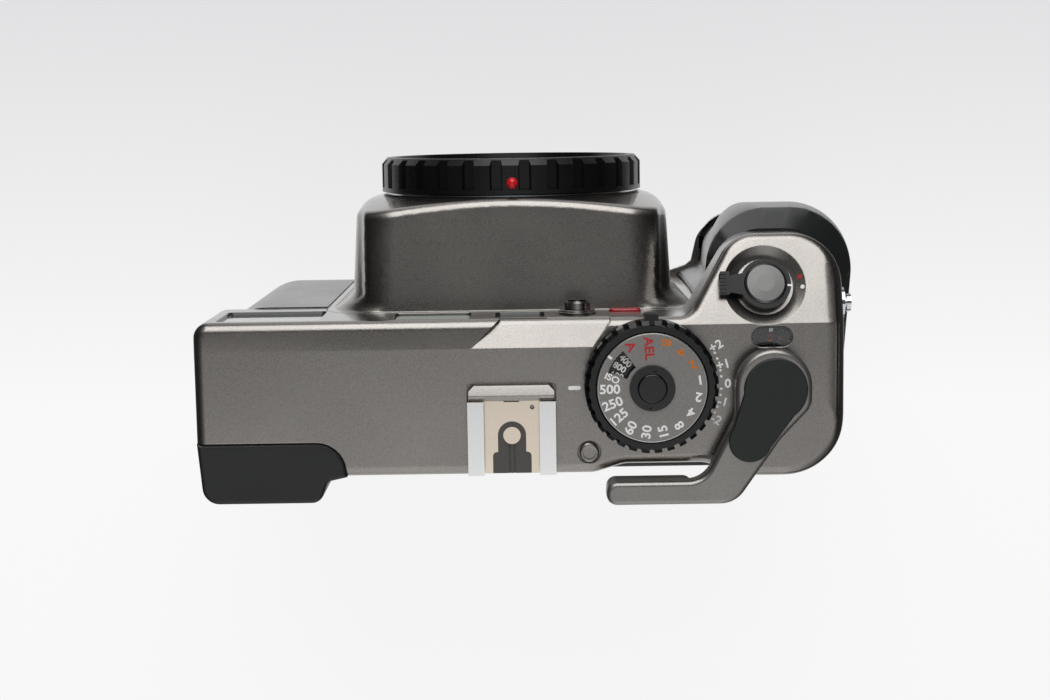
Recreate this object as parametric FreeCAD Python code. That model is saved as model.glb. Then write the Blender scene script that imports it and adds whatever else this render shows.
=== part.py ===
import FreeCAD, Part
import math
import os
from FreeCAD import Placement, Rotation, Vector

os.makedirs("parts", exist_ok=True)

# Medium format rangefinder camera without a lens, in millimetres. It stands on its base.
# X points to the user's right, Y out through the lens, Z up. The origin is the mouth of the
# tripod socket. The lens axis lies at X 0.

# Body
left_x = -73.0
front_y = 16.4
rear_y = -19.6
deck_z = 104.0
cover_wall = 1.6
part_gap = 0.2
running_gap = 0.06
lower_front_radius = 12.5
upper_front_radius = 3.5
rear_corner_radius = 3.2
notch_radius = 6.5
rim_radius = 2.4
seam_z = 74.1
chamber_roof = 0.9
base_thickness = 2.4

# Lobe of the top cover over the hand grip
lobe_wall_reach = 4.3
lobe_front_y = 34.6
lobe_start_x = 40.4
lobe_left_x = 51.0
lobe_seam_z = 88.0
lobe_slope = 22.0
lobe_ridge_y = 14.6
lobe_neck_radius = 4.0
lobe_left_radius = 9.0
lobe_right_radius = 12.0
lobe_rear_radius = 14.0
lobe_rear_bulge = 1.3
rear_notch_depth = 2.0
notch_left_x = 18.5
notch_flat_left_x = 25.5
notch_flat_right_x = 44.5
notch_right_x = 50.5

# Facets along the front of the deck: a shallow one over the finder and a steep one beside the dial
facet_start_y = 9.8
finder_slope = 2.5
facet_slope = 22.0
facet_left_x = -9.65
facet_diagonal = 6.95
dial_step_x = 18.3
dial_step_run = 4.1

# Eyepiece housing at the rear left corner
housing_rear_y = -25.8
housing_front_y = -11.5
housing_right_x = -38.4
housing_step_x = -43.0
eyepiece_x = -56.5
eyepiece_width = 15.0
eyepiece_height = 12.0

# Film path
axis_z = 49.0
film_y = -16.6
gate_width = 69.5
gate_height = 56.0
chamber_radius = 13.0
chamber_height = 68.0
supply_x = -54.5
take_up_x = 58.9
chamber_y = 0.9
rail_width = 2.5
roller_radius = 2.0
roller_inset = 1.7

# Lens barrel and bayonet
barrel_half_width = 41.3
barrel_half_height = 36.4
barrel_corner = 13.0
barrel_draft = 1.6
barrel_wall = 2.0
barrel_flare = 3.4
apron_rise = 2.5
barrel_shoulder = 2.5
flange_y = 43.4
plateau_radius = 32.4
dome_slope = 12.0
throat_radius = 26.0
flange_ring_radius = 31.6
flange_thickness = 1.4
bayonet_depth = 1.6
bayonet_lugs = 3
mount_screw_count = 4
mount_screw_ring = 29.0
lens_release_x = -28.8
lens_release_drop = 29.5
release_hole_radius = 4.5

# Body cap
cap_radius = 32.9
cap_height = 8.5
cap_gap = 0.3
cap_ribs = 30
cap_groove = 1.1
cap_dot_radius = 1.4

# Controls on the deck
dial_x = 31.35
dial_y = 1.2
ring_radius = 15.1
ring_inner = 12.75
ring_teeth = 32
ring_height = 6.4
dial_radius = 12.5
dial_height = 6.9
hub_radius = 5.15
lock_radius = 3.3
speed_window_from = 127.3
speed_window_to = 159.4
speed_window_inner = 6.0
speed_window_outer = 10.72
dial_shaft_radius = 3.0
lever_height = 6.4
lever_thickness = 4.0
lever_head_radius = 8.6
lever_shaft_radius = 2.5
lever_tip_x = 20.9
lever_tip_y = -25.8
lever_tip_width = 5.4
lever_bend_x = 43.0
lever_heel_x = 50.2
lever_heel_rise = 14.8
pad_radius = 7.2
pad_foot_x = 53.4
pad_foot_y = -11.3
pad_foot_radius = 4.8
pad_height = 0.5
counter_radius = 12.4
counter_length = 9.4
counter_width = 4.8
counter_y = 11.6
check_x = 17.3
check_y = -14.5
check_radius = 2.25
check_recess = 0.4

# Release on the lobe, square to the lobe's slope
release_x = 57.9
release_y = 23.05
dish_radius = 9.5
dish_depth = 2.2
collar_radius = 5.85
button_radius = 4.75

# Accessory shoe
shoe_x = -0.4
shoe_inner_width = 18.7
shoe_opening = 12.7
shoe_lip = 0.9
shoe_slot = 2.05
shoe_length = 17.0
shoe_wall = 0.72
shoe_front_y = -2.1

# Windows and small pieces on the front strip
viewfinder_x = -56.3
viewfinder_width = 23.0
viewfinder_z = 90.5
viewfinder_height = 19.0
illumination_x = -18.6
illumination_width = 17.2
illumination_z = 94.4
illumination_height = 12.4
rangefinder_x = 1.8
rangefinder_width = 10.6
rangefinder_z = 93.9
rangefinder_height = 10.4
terminal_x = 15.2
terminal_z = 92.8
terminal_radius = 3.0
terminal_rise = 2.9
lamp_x = 26.5
lamp_z = 89.6
glass_thickness = 1.0
glass_inset = 0.7
window_bevel = 0.45
lamp_width = 7.6
lamp_height = 2.6
lamp_rise = 0.7

# Gears between the advance lever and the take-up key
gear_module = 0.5
lever_teeth = 40
idler_small_teeth = 16
idler_large_teeth = 30
take_up_teeth = 20
gear_thickness = 2.0

# Grip, base and door
grip_front_y = 40.0
grip_right_x = 84.0
grip_rear_y = -12.2
grip_waist_z = 28.0
grip_bulge_z = 60.0
grip_brow_z = 80.0
panel_right_x = -45.1
panel_thickness = 0.8
base_front_y = 33.8
base_right_x = 79.5
base_neck_x = 43.5
base_neck_radius = 4.0
door_thickness = 3.4
door_pin_x = 70.6
door_pin_radius = 1.0
knuckle_radius = 2.3
tripod_radius = 2.6
tripod_depth = 10.0
battery_x = 62.0
battery_y = 25.0
battery_radius = 6.5
battery_length = 25.2
curtain_x = -38.1
curtain_y = 8.5
mirror_y = 7.0
board_left_x = 9.8
board_rear_y = -15.2
board_width = 15.0
board_length = 24.0
board_thickness = 1.2
board_rise = 4.0
follower_x = 14.0
follower_rise = 30.3
strap_radius = 3.75
right_lug_y = 18.0
right_lug_z = 93.0
left_lug_y = -13.0
left_lug_z = 66.0

# Places that follow from the sizes above
front_inner_y = front_y - cover_wall
left_inner_x = left_x + cover_wall
chassis_left = left_inner_x + part_gap
chassis_front = front_inner_y - part_gap
chassis_rear = rear_y + 0.8
chassis_right = take_up_x + chamber_radius + 2.4
lobe_right_x = take_up_x + chamber_radius + lobe_wall_reach
chassis_bottom = base_thickness + 0.1
rear_seam_z = axis_z + chamber_height / 2 + chamber_roof
chassis_top = rear_seam_z - 0.1
tray_top = chassis_top + 2.2
chamber_bottom = axis_z - chamber_height / 2
chamber_top = axis_z + chamber_height / 2
land_y = film_y + 0.6
door_inner_y = chassis_rear - part_gap
door_outer_y = door_inner_y - door_thickness
door_pin_y = door_inner_y - door_thickness / 2
barrel_top_z = axis_z + barrel_half_height
lens_release_z = axis_z - lens_release_drop
lens_release_reach = math.hypot(lens_release_x, lens_release_drop)
deck_under_z = deck_z - 1.8
ring_top_z = deck_z + ring_height
dial_top_z = deck_z + dial_height
lever_top_z = deck_z + lever_height
skin_right_x = barrel_half_width + 5.0
follower_y = chassis_front + 3.0
follower_z = axis_z + follower_rise
roller_y = film_y + roller_inset
idler_x = take_up_x - gear_module * (lever_teeth + idler_small_teeth) / 2
idler_module = gear_module * (lever_teeth + idler_small_teeth) / (idler_large_teeth + take_up_teeth)
lower_gear_z = tray_top + 0.4
upper_gear_z = tray_top + 7.0
counter_z = deck_under_z - 1.8
shoe_half = shoe_inner_width / 2
release_z = deck_z - (release_y - lobe_ridge_y) * math.tan(math.radians(lobe_slope))


def box(x0, x1, y0, y1, z0, z1):
    return Part.makeBox(x1 - x0, y1 - y0, z1 - z0, Vector(x0, y0, z0))


def disc(radius, x, y, z0, z1):
    return Part.makeCylinder(radius, z1 - z0, Vector(x, y, z0))


def disc_y(radius, x, z, y0, y1):
    return Part.makeCylinder(radius, y1 - y0, Vector(x, y0, z), Vector(0, 1, 0))


def disc_x(radius, y, z, x0, x1):
    return Part.makeCylinder(radius, x1 - x0, Vector(x0, y, z), Vector(1, 0, 0))


def tube(outer, inner, x, y, z0, z1):
    return disc(outer, x, y, z0, z1).cut(disc(inner, x, y, z0 - 1, z1 + 1))


def unite(shapes):
    first = shapes[0]
    return first.fuse(shapes[1:]) if len(shapes) > 1 else first


def drop(shape, tools):
    return shape.cut(tools)


def rounded_wire(corners, z=0.0):
    """Closed outline at height z through corners (x, y, radius) with tangent arcs."""
    count = len(corners)
    starts = []
    for i in range(count):
        x, y, radius = corners[i]
        before = Vector(corners[i - 1][0] - x, corners[i - 1][1] - y, 0).normalize()
        after = Vector(corners[(i + 1) % count][0] - x, corners[(i + 1) % count][1] - y, 0).normalize()
        here = Vector(x, y, z)
        if radius == 0:
            starts.append((here, here, here))
            continue
        half = before.getAngle(after) / 2
        reach = radius / math.tan(half)
        bisector = (before + after).normalize()
        centre = here + bisector * (radius / math.sin(half))
        middle = centre - bisector * radius
        starts.append((here + before * reach, middle, here + after * reach))
    edges = []
    for i in range(count):
        begin, middle, end = starts[i]
        if begin.distanceToPoint(end) > 1e-6:
            edges.append(Part.Arc(begin, middle, end).toShape())
        following = starts[(i + 1) % count][0]
        if end.distanceToPoint(following) > 1e-6:
            edges.append(Part.LineSegment(end, following).toShape())
    return Part.Wire(edges)


def plate(corners, z0, z1):
    return Part.Face(rounded_wire(corners, z0)).extrude(Vector(0, 0, z1 - z0))


def upright(corners, y0, y1):
    """Outline given as (x, z, radius), extruded along Y from y0 to y1."""
    flat = plate([(x, -z, r) for x, z, r in corners], 0, y1 - y0)
    flat.rotate(Vector(0, 0, 0), Vector(1, 0, 0), -90)
    flat.translate(Vector(0, y0, 0))
    return flat


def side_profile(points, x0, x1):
    """Outline given as (y, z), extruded along X from x0 to x1."""
    wire = Part.makePolygon([Vector(x0, y, z) for y, z in points + points[:1]])
    return Part.Face(wire).extrude(Vector(x1 - x0, 0, 0))


def turned(points, origin, axis_placement=None):
    """Outline given as (radius, height), revolved about +Z, then placed at the origin."""
    wire = Part.makePolygon([Vector(r, 0, h) for r, h in points + points[:1]])
    body = Part.Face(wire).revolve(Vector(0, 0, 0), Vector(0, 0, 1), 360)
    if axis_placement:
        body.Placement = axis_placement
    else:
        body.translate(origin)
    return body


def along_y(x, y, z):
    return Placement(Vector(x, y, z), Rotation(Vector(1, 0, 0), -90))


def around(shape, count, centre, axis):
    copies = []
    for i in range(count):
        copy = shape.copy()
        copy.rotate(centre, axis, 360.0 * i / count)
        copies.append(copy)
    return copies


def rounded_box(x0, x1, y0, y1, z0, z1, radius):
    corners = [(x0, y0, radius), (x1, y0, radius), (x1, y1, radius), (x0, y1, radius)]
    return plate(corners, z0, z1)


def window_block(x, z, width, height, radius, y0, y1):
    half_w = width / 2
    half_h = height / 2
    corners = [(x - half_w, z - half_h, radius), (x + half_w, z - half_h, radius),
               (x + half_w, z + half_h, radius), (x - half_w, z + half_h, radius)]
    return upright(corners, y0, y1)


def on_release(shape):
    """Move a shape drawn round the origin to the release, square to the lobe's slope."""
    shape.Placement = Placement(Vector(release_x, release_y, release_z),
                                Rotation(Vector(1, 0, 0), -lobe_slope))
    return shape


def edges_where(shape, test):
    return [edge for edge in shape.Edges if test(edge)]


def save(name, shape):
    shape.removeSplitter().exportStep("parts/" + name + ".step")


def top_outline(inset):
    """Plan of the top cover, inset from its outer wall."""
    rear = rear_y + inset
    front = front_y - inset
    left = left_x + inset
    right = lobe_right_x - inset
    flank = inset * 1.15
    lobe_rear = rear - lobe_rear_bulge
    notch = rear + rear_notch_depth
    return [(left, rear, rear_corner_radius - inset), (left, front, upper_front_radius - inset),
            (lobe_start_x + flank, front, lobe_neck_radius + inset),
            (lobe_left_x + inset * 0.58, lobe_front_y - inset, lobe_left_radius - inset),
            (right, lobe_front_y - inset, lobe_right_radius - inset),
            (right, lobe_rear, lobe_rear_radius - inset),
            (notch_right_x, lobe_rear, notch_radius), (notch_flat_right_x, notch, notch_radius),
            (notch_flat_left_x, notch, notch_radius), (notch_left_x, rear, notch_radius)]


def deck_profiles(drop_by):
    """Side views of what is above the two facets and the lobe, from left to right."""
    deck = deck_z - drop_by
    high = deck_z + 20
    far_y = lobe_front_y + 8
    falls = [(facet_start_y, finder_slope), (facet_start_y, facet_slope), (lobe_ridge_y, lobe_slope)]
    profiles = []
    for start, slope in falls:
        end_z = deck - (far_y - start) * math.tan(math.radians(slope))
        outline = [(-60, deck), (start, deck), (far_y, end_z), (far_y, high), (-60, high)]
        profiles.append(side_profile(outline, -100, 120))
    return profiles


def deck_regions():
    """Plans of the two facets and the lobe as tall plates. Their borders are the steps of the deck."""
    far_y = lobe_front_y + 8
    low = deck_z - 32
    high = deck_z + 21
    step_y = facet_start_y + (front_y - facet_start_y) * 0.85
    left_edge = [(facet_left_x, -60), (facet_left_x, facet_start_y),
                 (facet_left_x + facet_diagonal, front_y), (facet_left_x + facet_diagonal, far_y)]
    right_edge = [(dial_step_x, -60), (dial_step_x, facet_start_y),
                  (dial_step_x + dial_step_run, step_y), (dial_step_x + dial_step_run, far_y)]
    regions = []
    for border in ([(-100, far_y), (-100, -60)] + left_edge, left_edge + right_edge[::-1],
                   right_edge + [(120, far_y), (120, -60)]):
        regions.append(plate([(x, y, 0) for x, y in border], low, high))
    return regions


def above_deck(drop_by):
    return [profile.common(region) for profile, region in zip(deck_profiles(drop_by), deck_regions())]


def outer_cover():
    """Outside of the top cover. Each region of the deck has its own rounded rim up to the step beside it."""
    whole = plate(top_outline(0), seam_z + 0.1, deck_z + 6)
    spans = ((-100, facet_left_x + 15), (facet_left_x - 8, dial_step_x + 12), (dial_step_x - 8, 120))
    regions = []
    for (x0, x1), profile, region in zip(spans, deck_profiles(0), deck_regions()):
        body = drop(whole, [profile]).common(box(x0, x1, -60, 60, 0, deck_z + 30)).removeSplitter()
        rim = edges_where(body, lambda e: e.BoundBox.ZMin > seam_z + 9 and on_outer_wall(e))
        regions.append(body.makeFillet(rim_radius, rim).common(region))
    return unite(regions).removeSplitter()


def housing_outline(inset):
    """Plan of the eyepiece housing at the rear left corner."""
    back = housing_rear_y + inset
    front = housing_front_y - inset
    return [(left_x + inset, front, 0), (left_x + 1.2 + inset, back, 4.0),
            (housing_step_x - 1.8 - inset, back, 3.0), (housing_step_x - inset, rear_y - 1.2 + inset, 1.5),
            (housing_right_x - inset, rear_y - 0.2 + inset, 0.4),
            (housing_right_x - 1.2 - inset, front, 7.0)]


def stadium(x, y, length, width, z0, z1):
    radius = width / 2 - 0.01
    return rounded_box(x - length / 2, x + length / 2, y - width / 2, y + width / 2, z0, z1, radius)


def top_cover():
    inner = drop(plate(top_outline(cover_wall), seam_z - 1, deck_z + 6), above_deck(1.8))
    boss = on_release(disc(dish_radius + 1.2, 0, 0, -dish_depth - 1.2, 6))
    inner = drop(inner, [boss])
    cover = drop(outer_cover(), [inner])
    low_rear = box(left_x - 1, lobe_right_x + 9, rear_y - 9, rear_y + cover_wall + part_gap,
                   seam_z - 1, rear_seam_z + 0.1)
    notch = rear_y + rear_notch_depth + cover_wall + part_gap
    low_notch = box(-20, lobe_right_x + 9, rear_y - 9, notch, seam_z - 1, rear_seam_z + 0.1)
    low_corner = box(lobe_start_x, lobe_right_x + 9, rear_y - 9, grip_rear_y, seam_z - 1, rear_seam_z + 0.1)
    low_right = box(lobe_start_x, lobe_right_x + 9, grip_rear_y - part_gap, lobe_front_y + 9,
                    seam_z - 1, lobe_seam_z)
    around_barrel = barrel_surround(part_gap)
    housing = plate(housing_outline(-0.1), seam_z - 1, deck_z + 9)
    dish = on_release(turned([(0, -dish_depth), (collar_radius + 0.8, -dish_depth),
                              (dish_radius, 0.0), (dish_radius + 2, 4.0), (0, 4.0)], Vector()))
    bore = on_release(disc(button_radius + 0.3, 0, 0, -6, 1))
    housing_side = box(left_x - 1, left_x + 1.2, rear_y - 1, housing_front_y + 0.1, seam_z - 1, deck_z + 9)
    tools = [low_rear, low_notch, low_corner, low_right, around_barrel, housing, housing_side, dish, bore]
    tools.append(disc(dial_shaft_radius + running_gap, dial_x, dial_y, deck_z - 9, deck_z + 9))
    tools.append(disc(lever_shaft_radius + running_gap, take_up_x, chamber_y, deck_z - 9, deck_z + 9))
    tools.append(stadium(take_up_x + 0.3, counter_y, counter_length, counter_width, deck_z - 9, deck_z + 9))
    tools.append(disc(check_radius + check_recess, check_x, check_y, deck_z - 0.8, deck_z + 1))
    tools.append(disc(1.5 + running_gap, check_x, check_y, deck_z - 9, deck_z + 1))
    half = shoe_inner_width / 2 + shoe_wall + 0.05
    tools.append(box(shoe_x - half, shoe_x + half, rear_y - 1, 1.6, deck_z - 0.8, deck_z + 9))
    tools += window_cuts()
    cover = drop(cover, tools)
    boss = disc(6.0 - running_gap, dial_x, dial_y, deck_z - 0.5, deck_z + 1.1)
    boss = drop(boss, [disc(dial_shaft_radius + running_gap, dial_x, dial_y, deck_z - 2, deck_z + 3)])
    return cover.fuse(boss)


def on_outer_wall(edge):
    if edge.BoundBox.XLength + edge.BoundBox.YLength < 0.01:
        return False
    middle = edge.valueAt((edge.FirstParameter + edge.LastParameter) / 2)
    wall = rounded_wire(top_outline(0), middle.z)
    return wall.distToShape(Part.Vertex(middle))[0] < 0.02


def window_cuts():
    cuts = []
    for x, z, width, height, radius in window_places():
        cuts.append(window_block(x, z, width, height, radius, front_inner_y - 4, front_y + 1))
        cuts.append(window_recess(x, z, width, height, radius))
    cuts.append(window_block(lamp_x, lamp_z, lamp_width, lamp_height, 1.2, front_inner_y - 4, front_y + 1))
    cuts.append(disc_y(2.4, terminal_x, terminal_z, front_inner_y - 2, front_y + 1))
    return cuts


def window_places():
    return [(viewfinder_x, viewfinder_z, viewfinder_width, viewfinder_height, 1.2),
            (illumination_x, illumination_z, illumination_width, illumination_height, 1.0),
            (rangefinder_x, rangefinder_z, rangefinder_width, rangefinder_height, 1.0)]


def window_recess(x, z, width, height, radius):
    """Bevel round a window, from the glass out to the face of the front strip."""
    wires = []
    for y, widen in ((front_y - glass_inset, 0.0), (front_y + 0.01, window_bevel)):
        half_w = width / 2 + widen
        half_h = height / 2 + widen
        wire = rounded_wire([(-half_w, -half_h, radius + widen), (half_w, -half_h, radius + widen),
                             (half_w, half_h, radius + widen), (-half_w, half_h, radius + widen)])
        wire.rotate(Vector(0, 0, 0), Vector(1, 0, 0), -90)
        wire.translate(Vector(x, y, z))
        wires.append(wire)
    return Part.makeLoft(wires, True, True)


def window_glass(index):
    x, z, width, height, radius = window_places()[index]
    lip = 0.05
    back = front_y - glass_inset - glass_thickness
    return window_block(x, z, width - 2 * lip, height - 2 * lip, radius, back, back + glass_thickness)


def signal_lamp():
    """Red pill that stands a little proud of the front strip."""
    back = front_y - glass_inset - glass_thickness
    lamp = window_block(lamp_x, lamp_z, lamp_width - 0.1, lamp_height - 0.1, 1.2, back, front_y + lamp_rise)
    rim = edges_where(lamp, lambda e: e.BoundBox.YMin > front_y + lamp_rise - 0.01)
    return lamp.makeFillet(lamp_rise - 0.1, rim)


def barrel_loft(inset, y0, y1):
    """Rounded square tube about the lens axis, narrowing with its draft."""
    return Part.makeLoft([barrel_section(y, inset, inset) for y in (y0, y1)], True, True)


def barrel_section(y, side_inset, top_inset):
    shrink = barrel_draft * (y - front_y) / (flange_y - front_y)
    half_w = barrel_half_width - shrink - side_inset
    top = barrel_half_height - shrink - top_inset
    foot = barrel_half_height - shrink - side_inset
    corner = barrel_corner - max(top_inset, side_inset)
    wire = rounded_wire([(-half_w, -top, corner), (half_w, -top, corner),
                         (half_w, foot, corner), (-half_w, foot, corner)])
    wire.rotate(Vector(0, 0, 0), Vector(1, 0, 0), -90)
    wire.translate(Vector(0, y, axis_z))
    return wire


def barrel_foot():
    """Hollow curve from the barrel's sides into the front, fading out along its top.

    It ends just inside the barrel, so that the two surfaces cross instead of touching.
    """
    foot_sink = 0.06
    sections = []
    for degrees in range(0, 91, 15):
        turn = math.radians(degrees)
        out = barrel_flare * (1 - math.sin(turn))
        y = front_y - 0.1 + barrel_flare * (1 - math.cos(turn))
        sections.append(barrel_section(y, foot_sink - out, foot_sink))
    return Part.makeLoft(sections, True, True)


def barrel_surround(gap):
    """Room round the barrel's foot, where the front cover rises into the front strip."""
    half = barrel_half_width + barrel_flare + 0.3 + gap
    top = barrel_top_z + apron_rise + gap
    corners = [(-half, axis_z, 0), (half, axis_z, 0), (half, top, 6), (-half, top, 12)]
    return upright(corners, front_inner_y - 1, front_y + 6)


def front_cover():
    inner_radius = lower_front_radius - cover_wall
    shell = [(skin_right_x, front_y, 0), (left_x, front_y, lower_front_radius), (left_x, chassis_rear, 0.4),
             (left_inner_x, chassis_rear, 0.4), (left_inner_x, front_inner_y, inner_radius),
             (skin_right_x, front_inner_y, 0)]
    skin = plate(shell, chassis_bottom, seam_z - 0.1)
    apron = barrel_surround(0).common(box(-60, 60, front_inner_y, front_y, axis_z, deck_z))
    barrel = barrel_loft(0, front_inner_y, flange_y + 1)
    reach = 70.0
    fall = (reach - plateau_radius) * math.tan(math.radians(dome_slope))
    dome = turned([(0, 0), (reach, 0), (reach, flange_y - front_inner_y - fall - 0.3),
                   (plateau_radius, flange_y - front_inner_y - 0.3),
                   (0, flange_y - front_inner_y - 0.3)], None, along_y(0, front_inner_y, axis_z))
    barrel = barrel.common(dome)
    shoulder = edges_where(barrel, lambda e: e.BoundBox.YMin > front_y + 12
                           and not is_circle_of(e, plateau_radius) and not is_line(e))
    barrel = barrel.makeFillet(barrel_shoulder, shoulder)
    cover = unite([skin, apron, barrel, barrel_foot()])
    hollow = barrel_loft(barrel_wall, front_inner_y - 3, flange_y - 3.6)
    tools = [hollow, disc_y(throat_radius, 0, axis_z, front_y, flange_y + 9)]
    tools.append(disc_y(flange_ring_radius + 0.05, 0, axis_z, flange_y - flange_thickness, flange_y + 9))
    tools.append(disc_y(release_hole_radius, lens_release_x, lens_release_z, flange_y - 12,
                        flange_y + 3))
    tools.append(box(left_x - 1, left_inner_x + 1, -3.0, 2.1, 55.0, 71.5))
    panel_room = panel_solid(0.0)
    cover = drop(cover, tools + [panel_room])
    return drop(cover, mount_screw_holes())


def is_line(edge):
    return isinstance(edge.Curve, Part.Line)


def is_circle_of(edge, radius):
    return hasattr(edge.Curve, "Radius") and abs(edge.Curve.Radius - radius) < 0.01


def panel_solid(gap):
    """Thin grey panel on the front left, let into the front cover."""
    outside = [(panel_right_x - gap, front_y + 0.3, 0),
               (left_x - 0.3, front_y + 0.3, lower_front_radius + 0.3),
               (left_x - 0.3, -9.0, 0), (left_x + panel_thickness - 0.3, -9.0, 0),
               (left_x + panel_thickness - 0.3, front_y - panel_thickness + 0.3,
                lower_front_radius - panel_thickness + 0.3),
               (panel_right_x - gap, front_y - panel_thickness + 0.3, 0)]
    whole = plate(outside, chassis_bottom + 0.3, seam_z - 0.4)
    latch_room = box(left_x - 2, left_x + 2, -8.0, 7.0, 52.0, seam_z + 1)
    return drop(whole, [latch_room])


def mount_screw_holes():
    first = disc_y(1.0, 0, axis_z + mount_screw_ring, flange_y - 5, flange_y + 1)
    first.rotate(Vector(0, 0, axis_z), Vector(0, 1, 0), 45)
    return around(first, mount_screw_count, Vector(0, 0, axis_z), Vector(0, 1, 0))


def lens_mount_ring():
    ring = disc_y(flange_ring_radius, 0, axis_z, flange_y - flange_thickness + 0.02, flange_y)
    ring = drop(ring, [disc_y(throat_radius - 0.2, 0, axis_z, flange_y - 9, flange_y + 9)])
    tab = disc_y(throat_radius, 0, axis_z, flange_y - flange_thickness + 0.02, flange_y)
    tab = drop(tab, [disc_y(throat_radius - bayonet_depth, 0, axis_z, flange_y - 9, flange_y + 9)])
    wedge = bayonet_wedge(60.0)
    tab = tab.common(wedge)
    tabs = around(tab, bayonet_lugs, Vector(0, 0, axis_z), Vector(0, 1, 0))
    ring = unite([ring] + tabs)
    head = disc_y(1.9, 0, axis_z + mount_screw_ring, flange_y - 0.8, flange_y + 1)
    head.rotate(Vector(0, 0, axis_z), Vector(0, 1, 0), 45)
    heads = around(head, mount_screw_count, Vector(0, 0, axis_z), Vector(0, 1, 0))
    return drop(ring, heads + mount_screw_holes())


def bayonet_wedge(span):
    """Sector about the lens axis, centred on straight up."""
    reach = throat_radius * 2
    half = math.radians(span / 2)
    points = [Vector(0, 0, axis_z),
              Vector(-reach * math.sin(half), 0, axis_z + reach * math.cos(half)),
              Vector(reach * math.sin(half), 0, axis_z + reach * math.cos(half))]
    face = Part.Face(Part.makePolygon(points + points[:1]))
    return face.extrude(Vector(0, flange_y + 20, 0))


def mount_screws():
    stem = disc_y(0.95, 0, axis_z + mount_screw_ring, flange_y - 4.5, flange_y - 0.75)
    head = disc_y(1.8, 0, axis_z + mount_screw_ring, flange_y - 0.78, flange_y - 0.1)
    middle = axis_z + mount_screw_ring
    slot = box(-2, 2, flange_y - 0.4, flange_y, middle - 0.25, middle + 0.25)
    screw = drop(unite([stem, head]), [slot])
    screw.rotate(Vector(0, 0, axis_z), Vector(0, 1, 0), 45)
    return Part.makeCompound(around(screw, mount_screw_count, Vector(0, 0, axis_z), Vector(0, 1, 0)))


def body_cap():
    seat = flange_y + cap_gap
    top = cap_height
    plug = throat_radius - bayonet_depth - 0.2
    points = [(0, 2.6), (plug - 1.8, 2.6), (plug - 1.8, -2.6), (plug, -2.6), (plug, 0),
              (cap_radius, 0), (cap_radius, top - 1.6), (cap_radius - 1.4, top),
              (cap_radius - 3.2, top), (cap_radius - 3.8, top - 3.6), (0, top - 3.6)]
    cap = turned(points, None, along_y(0, seat, axis_z))
    lug = disc_y(plug + bayonet_depth - 0.2, 0, axis_z, seat - 2.6, seat - 2.0)
    lug = drop(lug, [disc_y(plug - 1, 0, axis_z, seat - 9, seat + 9)])
    lug = lug.common(bayonet_wedge(44.0))
    lug.rotate(Vector(0, 0, axis_z), Vector(0, 1, 0), 60)
    cap = unite([cap] + around(lug, bayonet_lugs, Vector(0, 0, axis_z), Vector(0, 1, 0)))
    pitch = 2 * math.pi * cap_radius / cap_ribs
    outer = pitch * 0.27
    inner = pitch * 0.17
    deep = cap_radius - cap_groove
    corners = [Vector(-outer, 0, cap_radius + 1), Vector(outer, 0, cap_radius + 1),
               Vector(inner, 0, deep), Vector(-inner, 0, deep)]
    groove = Part.Face(Part.makePolygon(corners + corners[:1]))
    groove = groove.extrude(Vector(0, top + 5, 0))
    groove.translate(Vector(0, seat + 1.1, axis_z))
    half_pitch = 180.0 / cap_ribs
    groove.rotate(Vector(0, 0, axis_z), Vector(0, 1, 0), half_pitch)
    grooves = around(groove, cap_ribs, Vector(0, 0, axis_z), Vector(0, 1, 0))
    cap = drop(cap, grooves)
    dot = Part.makeSphere(cap_dot_radius + 0.03, cap_dot_place())
    return drop(cap, [dot])


def cap_dot_place():
    return Vector(0.4, flange_y + cap_gap + 2.7, axis_z + cap_radius)


def cap_index():
    return Part.makeSphere(cap_dot_radius, cap_dot_place())


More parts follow.
